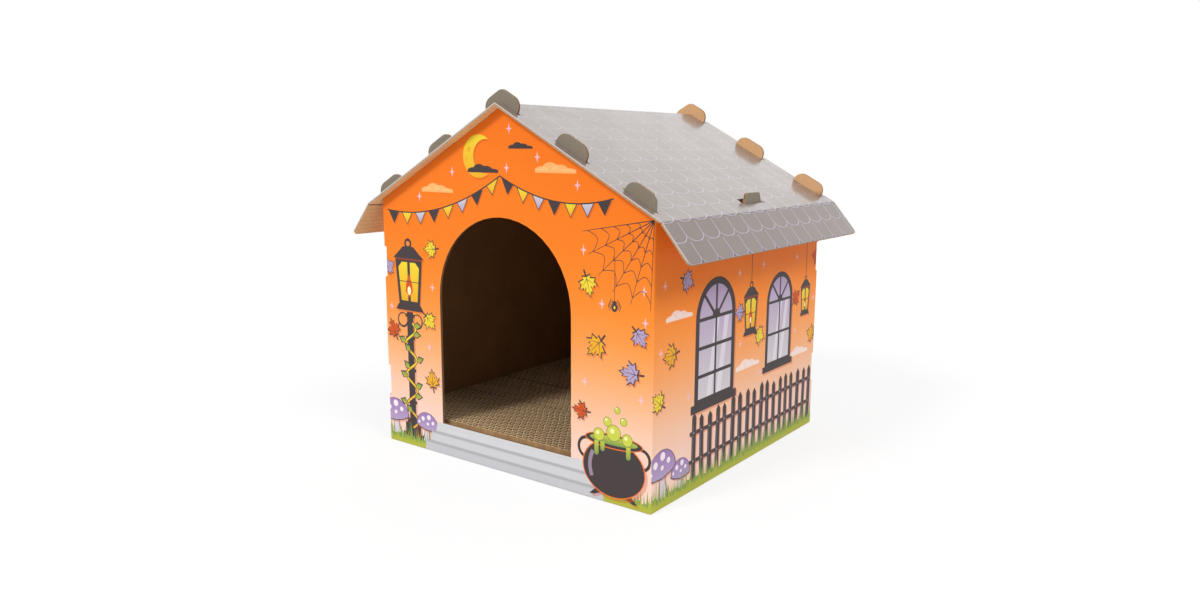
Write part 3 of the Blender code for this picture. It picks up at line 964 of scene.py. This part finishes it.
# %% Draw the kettle
def draw_kettle(art, x, y, size):
    rim = ink(236, 120, 40)
    for side in (-1, 1):
        foot = [(side * 0.26, 0.12), (side * 0.40, 0.0), (side * 0.32, 0.0), (side * 0.14, 0.08)]
        art.add(DARK, turned(foot, x, y, 0, size), 2.4)
        ear = [(side * px, py) for px, py in arc(0.44, 0.64, 0.14, -80, 100, 14)]
        art.line(DARK, turned(ear, x, y, 0, size), 3.6)
    art.disc(rim, x, y + 0.42 * size, 0.515 * size, 0.405 * size, steps=36, shade=3.0)
    art.disc(DARK, x, y + 0.42 * size, 0.50 * size, 0.39 * size, steps=36)
    art.disc(rim, x, y + 0.80 * size, 0.475 * size, 0.105 * size, steps=30)
    art.disc(DARK, x, y + 0.80 * size, 0.46 * size, 0.09 * size, steps=30)
    art.disc((GRASS_TOP, ink(196, 200, 70)), x, y + 0.81 * size, 0.39 * size, 0.06 * size, steps=28)
    for px, py, radius in ((-0.24, 0.86, 0.085), (0.0, 0.92, 0.11), (0.22, 0.86, 0.08),
                           (-0.1, 1.06, 0.06), (0.16, 1.10, 0.05), (0.06, 1.24, 0.04)):
        art.disc(ink(120, 140, 60), x + px * size, y + py * size, radius * size + 0.7, steps=16)
        art.disc(ink(204, 208, 78), x + px * size, y + py * size, radius * size, steps=16)
        art.disc(ink(240, 240, 170), x + (px - 0.02) * size, y + (py + 0.025) * size,
                 radius * size * 0.35, steps=8)
    shine = arc(0, 0.42, 0.42, 150, 205, 10) + arc(0, 0.42, 0.36, 205, 150, 10)
    art.add((*ink(168, 150, 170), 0.75), turned(shine, x, y, 0, size))
    for px, drop in ((-0.28, 0.16), (-0.18, 0.09), (0.24, 0.13)):
        drip = arc(px, 0.76 - drop, 0.035, 180, 360, 8) + [(px + 0.035, 0.77), (px - 0.035, 0.77)]
        art.add((GRASS_TOP, ink(196, 200, 70)), turned(drip, x, y, 0, size))


# %% Draw the cobweb and its spider
THREADS = 6


def draw_web(art, x, y, size, start, end):
    """A fan of threads from a corner, between two angles in degrees."""
    spokes = [math.radians(start + (end - start) * k / (THREADS - 1)) for k in range(THREADS)]
    for angle in spokes:
        art.line(DARK, [(x, y), (x + size * math.cos(angle), y + size * math.sin(angle))], 1.1, 0.6)
    for level in (0.22, 0.38, 0.55, 0.73, 0.92):
        for first, second in zip(spokes, spokes[1:]):
            points = []
            for k in range(7):
                angle = first + (second - first) * k / 6
                reach = size * level * (1 - 0.13 * math.sin(math.pi * k / 6))
                points.append((x + reach * math.cos(angle), y + reach * math.sin(angle)))
            art.line(DARK, points, 0.8)


def draw_spider(art, x, y, thread):
    art.line(DARK, [(x, y), (x, y + thread)], 0.7)
    for side in (-1, 1):
        for rise, reach in ((3.4, 7.0), (1.2, 8.2), (-1.2, 8.0), (-3.4, 6.6)):
            knee = (x + side * reach * 0.6, y + rise + 2.6)
            art.line(DARK, [(x, y + rise * 0.3), knee, (x + side * reach, y + rise - 2.4)], 0.9)
    art.disc(DARK, x, y - 2.2, 3.9, 4.6, steps=18)
    art.disc(DARK, x, y + 2.6, 2.4, steps=14)
    art.disc(YELLOW, x, y - 2.2, 1.2, 1.7, steps=10)


# %% [markdown]
# ### Bunting
#
# A string of small flags hangs over the doorway. The string is a parabola, and the flags hang
# straight down from it in turn in three inks.

# %% Draw bunting
def draw_bunting(art, start, end, sag, count):
    (x0, y0), (x1, y1) = start, end

    def at(share):
        return (x0 + (x1 - x0) * share, y0 + (y1 - y0) * share - sag * 4 * share * (1 - share))

    tones = [(DARK, DARK), (GOLD, YELLOW), (LILAC, LILAC_PALE)]
    for index in range(count):
        left, right = at((index + 0.14) / count), at((index + 0.86) / count)
        middle = ((left[0] + right[0]) / 2, (left[1] + right[1]) / 2 - 13.5)
        art.add(DARK, [(middle[0], middle[1] - 1.8), (right[0] + 1.0, right[1]),
                       (left[0] - 1.0, left[1])], 1.6)
        art.add(tones[index % 3], [middle, (right[0] - 0.3, right[1]), (left[0] + 0.3, left[1])])
    art.line(DARK, [at(k / 24) for k in range(25)], 1.5)


# %% [markdown]
# ### Windows and fence
#
# The side and back walls show windows with round heads over a row of pickets. A window is drawn
# as a dark shape, a smaller one in lilac that pales towards the sill, two beams of light and the
# bars over it.

# %% Draw a window
def draw_window(art, x, y, width, height, columns, rows):
    half = width / 2
    glass = half - width * 0.09
    spring = y + height - half
    low = y + width * 0.07
    frame_head = [(x + px, spring + py) for px, py in arc(0, 0, half, 0, 180, 22)]
    glass_head = [(x + px, spring + py) for px, py in arc(0, 0, glass, 0, 180, 22)]
    art.add(DARK, [(x - half, y), (x + half, y)] + frame_head, 3.0)
    art.add((LILAC_PALE, LILAC), [(x - glass, low), (x + glass, low)] + glass_head)
    for shift in (-0.5, 0.1):
        beam = [(x + glass * shift, low), (x + glass * (shift + 0.28), low),
                (x + glass * (shift + 0.72), spring), (x + glass * (shift + 0.44), spring)]
        art.add((*ink(238, 232, 240), 0.55), beam)
    bar = width * 0.045
    for column in range(1, columns):
        at = x - glass + 2 * glass * column / columns
        art.box(DARK, at - bar / 2, y, at + bar / 2, spring)
    for row in range(1, rows + 1):
        level = y + (height - half) * row / rows
        art.box(DARK, x - glass, level - bar / 2, x + glass, level + bar / 2)
    for angle in (45, 90, 135):
        a = math.radians(angle)
        end = (x + glass * math.cos(a), spring + glass * math.sin(a))
        art.line(DARK, [(x, spring), end], bar)
    art.disc(DARK, x, spring, width * 0.10, steps=16, start=0, end=180)
    sill = width * 0.08
    art.box(DARK, x - half - sill, y - width * 0.09, x + half + sill, y + width * 0.02, 2.6)


# %% Draw a picket fence
RAILS = (0.30, 0.72)


def draw_fence(art, left, right, foot, height, seed):
    dice = random.Random(seed)
    place = left
    for share in RAILS:
        level = foot + height * share
        art.box(DARK, left - 4, level - 2.4, right + 4, level + 2.4, 2.2)
    while place < right:
        wide = dice.uniform(8.4, 10.0)
        tall = height * dice.uniform(0.94, 1.06)
        lean = dice.uniform(-2.2, 2.2)
        picket = [(0, 0), (wide, 0), (wide + lean, tall - wide * 0.6), (wide / 2 + lean, tall),
                  (lean, tall - wide * 0.6)]
        art.add(DARK, [(place + px, foot + py) for px, py in picket], 2.0)
        grain = [(place + wide * 0.3, foot + 4),
                 (place + wide * 0.3 + lean * 0.8, foot + tall * 0.82)]
        art.line((*ink(150, 132, 150), 0.7), grain, 0.9)
        for share in RAILS:
            art.disc(ink(190, 176, 190), place + wide / 2 + lean * share, foot + height * share,
                     1.0, steps=8)
        place += wide + dice.uniform(7.5, 9.5)


# %% [markdown]
# ### The four walls
#
# Each wall now gets its picture. Places are in millimetres from the middle of the wall and up
# from the floor. The tabs above the roof line are printed in the roof's grey, so that they don't
# stand out when the roof is on.

# %% Tabs, leaves and sparkles
ROOF_FIT = 0.3 * MM
WALL_TOP = (RIDGE - RIGHT * math.tan(PITCH) - (BOARD + ROOF_FIT) / math.cos(PITCH)) / MM
PAST_WALL = 12
ABOVE_TABS = 460


def draw_tabs(art, gable):
    steep = math.tan(PITCH) if gable else 0.0
    half = RIGHT / MM + PAST_WALL
    peak = WALL_TOP + 0.5 + steep * RIGHT / MM
    art.add(TAB_GREY, [(-half, peak - steep * half), (0, peak), (half, peak - steep * half),
                       (half, ABOVE_TABS), (-half, ABOVE_TABS)])


def scatter(art, places, seed, mirror=1):
    """A leaf at each place that has a size and a sparkle at the others, in four inks in turn."""
    dice = random.Random(seed)
    tones = [YELLOW, RUST, GOLD, LILAC]
    for index, (x, y, size) in enumerate(places):
        if size:
            draw_leaf(art, x * mirror, y, size, dice.uniform(0, 360), tones[index % 4])
        else:
            draw_sparkle(art, x * mirror, y)


# %% Lay out the front wall
def front_print():
    art = Stencil()
    draw_cloud(art, -104, 322, 30, MIST_WARM)
    draw_cloud(art, 74, 348, 32, MIST_WARM)
    draw_moon(art, -36, 362, 24)
    draw_cloud(art, -30, 346, 27, DARK)
    draw_cloud(art, 26, 372, 20, DARK)
    scatter(art, [(10, 392, 0), (50, 362, 0), (-78, 344, 0), (6, 350, 0), (104, 334, 0),
                  (-134, 314, 0), (112, 268, 0), (136, 214, 0), (190, 200, 0), (-116, 206, 0),
                  (-190, 176, 0), (114, 128, 0), (186, 120, 0), (-124, 132, 0), (-192, 84, 0),
                  (172, 146, 21), (118, 232, 20), (188, 232, 0), (128, 168, 22), (184, 184, 18),
                  (-122, 164, 19), (-188, 148, 20), (-120, 92, 20), (-192, 226, 17),
                  (-118, 252, 18), (108, 96, 17)], 3)
    draw_web(art, 199, 303, 90, 190, 268)
    draw_spider(art, 152, 214, 50)
    draw_bunting(art, (-192, 296), (-4, 341), 17, 8)
    draw_bunting(art, (-4, 341), (150, 322), 15, 7)
    draw_post(art, -157, 8, 172)
    draw_lantern(art, -157, 258, 92)
    draw_toadstool(art, -187, 8, 52, 6)
    draw_toadstool(art, -134, 10, 40, -6)
    draw_grass(art, -203, -116, 32, 1)
    draw_grass(art, 116, 203, 32, 2)
    draw_steps(art)
    draw_kettle(art, 152, 6, 79)
    draw_tabs(art, True)
    return art


# %% Lay out a side wall
def side_print(mirror, seed):
    """A side wall. mirror is 1 or -1, so that two walls can run opposite ways."""
    art = Stencil()
    for x, y, size in ((-150, 200, 30), (6, 118, 34), (150, 108, 32)):
        draw_cloud(art, x * mirror, y, size, MIST)
    draw_window(art, -72 * mirror, 96, 88, 138, 2, 3)
    draw_window(art, 88 * mirror, 106, 72, 116, 2, 2)
    draw_lantern(art, 10 * mirror, 216, 66, 110)
    draw_lantern(art, 164 * mirror, 206, 54, 120)
    scatter(art, [(-178, 236, 0), (-128, 110, 0), (-184, 168, 0), (-20, 232, 0), (-14, 148, 0),
                  (40, 236, 0), (136, 140, 0), (190, 176, 0), (38, 104, 0), (134, 236, 0),
                  (-166, 162, 22), (-134, 236, 20), (36, 150, 20), (136, 184, 18), (186, 128, 20),
                  (-18, 186, 18), (-188, 118, 20), (192, 232, 19)], seed, mirror)
    draw_toadstool(art, -176 * mirror, 12, 56, 5)
    draw_toadstool(art, -144 * mirror, 8, 40, -6)
    left, right = (-120, 186) if mirror > 0 else (-186, 120)
    draw_fence(art, left, right, 12, 76, seed)
    draw_grass(art, -203, 203, 38, seed + 1)
    draw_tabs(art, False)
    return art


# %% Lay out the back wall
def back_print():
    art = Stencil()
    draw_cloud(art, -96, 322, 32, MIST_WARM)
    draw_moon(art, 52, 346, 26)
    draw_cloud(art, 46, 330, 28, DARK)
    draw_cloud(art, -40, 358, 30, DARK)
    draw_cloud(art, -120, 130, 34, MIST)
    draw_cloud(art, 128, 124, 36, MIST)
    draw_window(art, 0, 108, 108, 164, 3, 4)
    draw_lantern(art, -116, 244, 72, 50)
    draw_lantern(art, 116, 244, 72, 50)
    draw_web(art, -199, 303, 74, -88, -10)
    scatter(art, [(-160, 236, 0), (-70, 300, 0), (74, 300, 0), (140, 292, 0), (166, 236, 0),
                  (-84, 140, 0), (88, 152, 0), (0, 392, 0), (-80, 344, 0), (-182, 176, 0),
                  (184, 168, 0), (-166, 204, 22), (-80, 196, 19), (164, 204, 21), (82, 208, 18),
                  (-86, 252, 18), (88, 262, 19), (-190, 128, 20), (190, 134, 20)], 31)
    draw_toadstool(art, -180, 12, 56, 5)
    draw_toadstool(art, -146, 8, 40, -5)
    draw_fence(art, -120, 186, 12, 76, 33)
    draw_grass(art, -203, 203, 38, 34)
    draw_tabs(art, True)
    return art


# %% [markdown]
# ## The wall sheets
#
# Two sheets make the walls. Each has a gable wall and a side wall with a crease between them,
# and a floor flap folded in under each. The finishes are the same for every panel of a sheet,
# so they are made once. A panel is worked on flat, with the printed side up, and its pose then
# stands it in the house.

# %% Finishes of the walls
# The walls' kraft is set darker than the paper is: a shaded copy, painted shade inside the house.
SHADED_KRAFT_TONE = ink(150, 107, 67)
# The walls' cut edges take a darker tone than the roof's: painted shade on the edges in the doorway
# and on the tabs.
SHADED_EDGE_TONE = ink(170, 128, 92)
wall_print = printed_wall("wall_print")
# The liner is painted paler above the wall top, as painted light on the tabs.
wall_liner = kraft_liner("wall_liner", SHADED_KRAFT_TONE, 0, painted_light_above=WALL_TOP * MM)
wall_cut = cut_edge("wall_cut_edge", SHADED_EDGE_TONE, 0, ink(150, 118, 92))
WALL_FINISHES = [wall_print, wall_liner, wall_cut]


def pose_of(x, y, z, turn_x=0.0, turn_y=0.0, turn_z=0.0):
    """Where a panel's own flat sheet lies in the house, with turns in degrees."""
    turns = [Matrix.Rotation(math.radians(turn), 4, axis)
             for axis, turn in (("Z", turn_z), ("Y", turn_y), ("X", turn_x))]
    return Matrix.Translation((x, y, z)) @ turns[0] @ turns[1] @ turns[2]


# %% Make the walls
WALL_FOLD = math.radians(45)
WALL_BEND = 2.4 * MM
UPRIGHT = 90


def wall_corner(place, side):
    return Fold(0, place, side, WALL_FOLD, WALL_BEND, 6)


def wall_foot(side):
    return Fold(1, 0.0, side, WALL_FOLD, WALL_BEND, 4)


WALLS = {
    "front": (pose_of(0, FRONT, 0, UPRIGHT), wall_corner(RIGHT, 1), front_print()),
    "right": (pose_of(RIGHT, 0, 0, UPRIGHT, turn_z=90), wall_corner(FRONT, -1), side_print(1, 13)),
    "back": (pose_of(0, BACK, 0, UPRIGHT, turn_z=180), wall_corner(RIGHT, 1), back_print()),
    "left": (pose_of(LEFT, 0, 0, UPRIGHT, turn_z=-90), wall_corner(-BACK, -1), side_print(-1, 23)),
}
for side, (pose, corner, art) in WALLS.items():
    print(side, "print", len(art.shapes), "shapes")
    make_panel(f"{side}_wall_sheet", f"{side}_wall", "walls", pose,
               [corner, wall_foot(-1)], WALL_FINISHES, art)
    make_panel(f"{side}_floor_flap_sheet", f"{side}_floor_flap", "walls",
               pose @ pose_of(0, 0, 0, 90), [wall_foot(1)], WALL_FINISHES)

# %% [markdown]
# ## The roof sheet
#
# The roof is one sheet with three creases: the ridge, and one at each eave. The slopes meet on
# the ridge line. Its print carries on over the eave crease, so a flap's sheet map starts where
# the slope's map ends.

# %% Make the roof
# The roof's kraft is set paler than the walls': a lit copy, painted light on its shaded underside.
LIT_ROOF_KRAFT_TONE = ink(250, 206, 152)
roof_print = printed_roof("roof_print")
roof_liner = kraft_liner("roof_liner", LIT_ROOF_KRAFT_TONE, 1, 0.10, SLOPE)
roof_cut = cut_edge("roof_cut_edge", ink(200, 168, 134), 1, ink(202, 190, 184), 0.45, 0.6)
ROOF_FINISHES = [roof_print, roof_liner, roof_cut]
RIDGE_BEND = 3.0 * MM
EAVE_BEND = 7.0 * MM


def eave_fold(place, side):
    return Fold(0, place, side, EAVE_TURN / 2, EAVE_BEND, 3, EAVE_ROOM)


for side, turn in (("right", 0), ("left", 180)):
    pose = pose_of(0, 0, RIDGE, turn_z=turn) @ pose_of(0, 0, 0, turn_y=math.degrees(PITCH))
    ridge = Fold(0, 0.0, -1, PITCH, RIDGE_BEND, 6)
    make_panel(f"{side}_roof_sheet", f"{side}_roof_slope", f"roof_{side}",
               pose, [ridge, eave_fold(SLOPE, 1)], ROOF_FINISHES, sheet_at=lambda x, y: (y, x))
    pose = pose @ pose_of(SLOPE, 0, 0, turn_y=math.degrees(EAVE_TURN))
    make_panel(f"{side}_eave_flap_sheet", f"{side}_eave_flap", f"flap_{side}",
               pose, [eave_fold(0.0, -1)], ROOF_FINISHES,
               sheet_at=lambda x, y: (y, SLOPE + x))

# %% [markdown]
# ## The scratch pad
#
# The pad is single-faced corrugated board, cut in strips and glued face to face with the cut
# edges up. Each strip is a thin flat liner and a wavy paper, so its top shows a row of small
# arches. A grid is stood on edge, pushed to and fro by a sine, and given the thickness of the
# paper. Strips are cut and glued by machine, but never quite level, so each row has its own
# height and its own place along the wave. Seen from above, light reaches only the cut itself, so
# the paper is painted pale there, partly the fresh paper of the cut and partly painted light, and
# painted dark within half a millimetre below it, as painted shade in the flutes. The foremost
# face, which looks out of the doorway, is left without that painted shade.

# %% Finish of the strips
PAPER = 0.58 * MM
STRIP_TONE = ink(176, 140, 98)
# Pale tone of the cut: partly the fresh paper of the cut, partly painted light.
CUT_AND_LIT_TONE = ink(238, 204, 158)
FUZZ_DEPTH = 0.4 * MM
first_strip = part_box("scratch_strip_01")[0]


def strip_finish(name):
    """The map called sheet says how far below the cut a point lies."""
    finish = Finish(name)
    place = finish.node("ShaderNodeTexCoord", {}, {}, "Object")
    _, _, below = sheet_place(finish)
    fibres = finish.noise(stretched(finish, place, 260, 900), scale=1.0, detail=4.0)
    clouds = finish.noise(place, scale=22.0, detail=2.0)
    fuzz = finish.noise(place, scale=1400.0, detail=2.0)
    share = fibres.ramp(0.3, 0.7) * 0.6 + clouds.ramp(0.3, 0.7) * 0.4
    paper = finish.blend(share, toned(STRIP_TONE, 0.70), toned(STRIP_TONE, 1.15))
    # Painted shade: below the cut the paper turns dark, except on the foremost face.
    behind = finish.part(place, "Y") > first_strip.y + PAPER
    painted_flute_shade = below.ramp(0.10 * MM, 0.45 * MM, 0.0, 0.97) * behind
    colour = finish.blend(painted_flute_shade, paper, toned(STRIP_TONE, 0.05))
    # Paler at the cut: partly the fresh paper of the cut, partly painted light.
    cut = (below + (fuzz - 0.5) * FUZZ_DEPTH).ramp(0.1 * MM, 0.3 * MM, 1.0, 0.0)
    colour = finish.blend(cut * fuzz.ramp(0.25, 0.55, 0.7, 1.0), colour, CUT_AND_LIT_TONE)
    normal = finish.bump(fuzz, 0.2 * MM, 0.6)
    return finish.surface(base_color=colour, roughness=share.ramp(0.0, 1.0, 0.84, 0.95),
                          normal=normal, specular_ior_level=0.15)


# %% The rhythm of the rows
WAVE = 8.9 * MM
WAVE_STEPS = 8
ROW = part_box("scratch_strip_02")[0].y - first_strip.y
UNEVEN = 0.25 * MM
END_ROOM = (0.1, 0.9)
CLEAR_OF_LINER = 2.2
PHASE_STEP = (1.9, 2.8)
pad_finish = strip_finish("scratch_pad_board")

strips = sorted(name for name in frame["nodes"] if name.startswith("scratch_strip_"))
row_count = round((max(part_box(name)[1].y for name in strips) - first_strip.y) / ROW)
pad_dice = random.Random(11)
row_phase = [0.0]
for _ in range(row_count):
    row_phase.append(row_phase[-1] + pad_dice.uniform(*PHASE_STEP))
print("pad rows", row_count, "pitch mm", round(ROW / MM, 2))


# %% Rows of liner and wave
def stand_grid(shape, left, right, foot, top, steps):
    """An upright sheet of paper that lies along x, as the grid's new corners."""
    made = bmesh.ops.create_grid(shape, x_segments=steps, y_segments=1, size=0.5)["verts"]
    for vert in made:
        share = (vert.co.x + 0.5, vert.co.y + 0.5)
        vert.co = (left + (right - left) * share[0], 0.0, foot + (top - foot) * share[1])
    return made


def make_rows(name, nodes, seed):
    """Rows for one or more packed strips. Their sheet map says how far below the cut they lie."""
    low = Vector(min(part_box(node)[0][i] for node in nodes) for i in range(3))
    high = Vector(max(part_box(node)[1][i] for node in nodes) for i in range(3))
    count = round((high.y - low.y) / ROW)
    dice = random.Random(seed)
    shape = bmesh.new()
    tops = []
    for row in range(count):
        start = low.y + row * ROW
        tops.append(high.z - dice.uniform(0.0, UNEVEN))
        left = low.x + dice.uniform(*END_ROOM) * MM
        right = high.x - dice.uniform(*END_ROOM) * MM
        for vert in stand_grid(shape, left, right, low.z, tops[row], 1):
            vert.co.y = start
        steps = round((right - left) / WAVE * WAVE_STEPS)
        middle = start + (ROW + PAPER) / 2
        swing = (ROW - PAPER * CLEAR_OF_LINER) / 2
        phase = row_phase[round((start - first_strip.y) / ROW)]
        for vert in stand_grid(shape, left, right, low.z, tops[row], steps):
            vert.co.y = middle + swing * math.sin(vert.co.x * TURN / WAVE + phase)
    bmesh.ops.solidify(shape, geom=shape.faces[:], thickness=PAPER)
    bmesh.ops.recalc_face_normals(shape, faces=shape.faces)
    sheet = shape.loops.layers.uv.new("sheet")
    for face in shape.faces:
        row = min(count - 1, max(0, int((face.calc_center_median().y - low.y) / ROW)))
        for loop in face.loops:
            loop[sheet].uv = (loop.vert.co.x, tops[row] - loop.vert.co.z)
    return finish_piece(name, shape, [pad_finish], "scratch_pad", nodes)


front_rows = [name for name in strips if "block" not in name]
make_rows("scratch_rows_front", front_rows, 11)
for number, block in enumerate(name for name in strips if "block" in name):
    make_rows(f"scratch_rows_{number + 1}", [block], 20 + number)

# %% [markdown]
# ## The corner locks
#
# Two corners are locked with tongues that push through slots in a folded flap. They are bare
# kraft board inside the house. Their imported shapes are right, so they only get a paper finish.
# Those pieces have no sheet map, so the paper reads Object coordinates.

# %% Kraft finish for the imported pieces
def bare_board(name, tone):
    finish = Finish(name)
    place = finish.node("ShaderNodeTexCoord", {}, {}, "Object")
    colour, fibres = kraft_colour(finish, place, tone)
    normal = finish.bump(fibres, 0.1 * MM, 0.6)
    return finish.surface(base_color=colour, roughness=fibres.ramp(0.2, 0.8, 0.76, 0.9),
                          normal=normal, specular_ior_level=0.25)


# The locks take the walls' darker kraft, painted shade inside the house.
lock_board = bare_board("corner_lock_board", SHADED_KRAFT_TONE)
for name, node in frame["nodes"].items():
    if "tongue" in name or "corner_flap" in name:
        node.data.materials.clear()
        node.data.materials.append(lock_board)

# %% [markdown]
# ## Floor, light and camera
#
# The house stands in a white studio: a pale floor that runs out to the horizon, an even white
# surround and three soft lamps. The camera sees the floor and the surround almost white, while
# the light that they pass on to the house is greyer.

# %% Floor
SKY_LOW = 0.34
SKY_TOP = 0.50
FLOOR_REACH = 12.0
FLOOR_GREY = 0.55
FLOOR_GLOW = 0.70
FLOOR_WHITE = 1.13
WHITE = (1.0, 1.0, 1.0)
shape = bmesh.new()
bmesh.ops.create_grid(shape, x_segments=1, y_segments=1, size=FLOOR_REACH)
floor_mesh = bpy.data.meshes.new("studio_floor")
shape.to_mesh(floor_mesh)
shape.free()
floor = bpy.data.objects.new("studio_floor", floor_mesh)
bpy.context.scene.collection.objects.link(floor)
paper_floor = Finish("studio_floor")
paper_floor.surface(base_color=(FLOOR_GREY,) * 3, roughness=0.95, specular_ior_level=0.0)
seen = paper_floor.seen() * FLOOR_GLOW
glow = paper_floor.node("ShaderNodeEmission", {}, {"Color": WHITE, "Strength": FLOOR_WHITE})
board = Amount(paper_floor, paper_floor.shader.outputs[0])
mixed = paper_floor.node("ShaderNodeMixShader", {}, {0: seen, 1: board, 2: glow})
paper_floor.plug(mixed, paper_floor.tree.nodes["Material Output"].inputs["Surface"])
floor_mesh.materials.append(paper_floor.material)

# %% Surround
world = bpy.data.worlds.new("studio")
bpy.context.scene.world = world
world.use_nodes = True
world.node_tree.nodes.clear()
sky = Nodes(world.node_tree)
direction = sky.node("ShaderNodeTexCoord", {}, {}, "Generated")
rise = sky.part(direction, "Z").most(0.0)
seen = sky.seen()
level = (rise * SKY_TOP + SKY_LOW) * (1.0 - seen) + seen
light = sky.node("ShaderNodeBackground", {}, {"Color": WHITE, "Strength": level})
sky.node("ShaderNodeOutputWorld", {}, {"Surface": light}, None)

# %% [markdown]
# ### Lamps and camera
#
# The main lamp stands in front, a little to the left of the doorway, and throws the edge of the
# doorway's shadow across the pad. A second one lights the right wall, and a weak one stands
# behind. The camera looks from the photograph's place, with the lens and turns that fit its edges.

# %% Lamps
def sun(name, side, rise, energy, spread):
    """A distant lamp. side is in degrees from straight in front of the doorway, to its right."""
    lamp = bpy.data.lights.new(name, "SUN")
    lamp.energy = energy
    lamp.angle = math.radians(spread)
    thing = bpy.data.objects.new(name, lamp)
    a, e = math.radians(side), math.radians(rise)
    towards = Vector((math.sin(a) * math.cos(e), -math.cos(a) * math.cos(e), math.sin(e)))
    thing.rotation_euler = towards.to_track_quat("Z", "Y").to_euler()
    bpy.context.scene.collection.objects.link(thing)


sun("front_lamp", -15, 40, 1.71, 15)
sun("side_lamp", 80, 46, 1.36, 24)
sun("back_lamp", 197, 36, 0.09, 34)

# %% Camera
CAMERA_PLACE = (0.67472, -0.92684, 0.37424)
CAMERA_TURNS = (80.22, -0.289, 36.642)
FOCAL_LENGTH = 26.861
lens = bpy.data.cameras.new("photo_view")
lens.sensor_width = 36.0
lens.lens = FOCAL_LENGTH
lens.clip_start = 0.02
camera = bpy.data.objects.new("photo_view", lens)
camera.location = CAMERA_PLACE
camera.rotation_euler = [math.radians(turn) for turn in CAMERA_TURNS]
bpy.context.scene.collection.objects.link(camera)
bpy.context.scene.camera = camera
bpy.context.scene.view_settings.view_transform = "Standard"
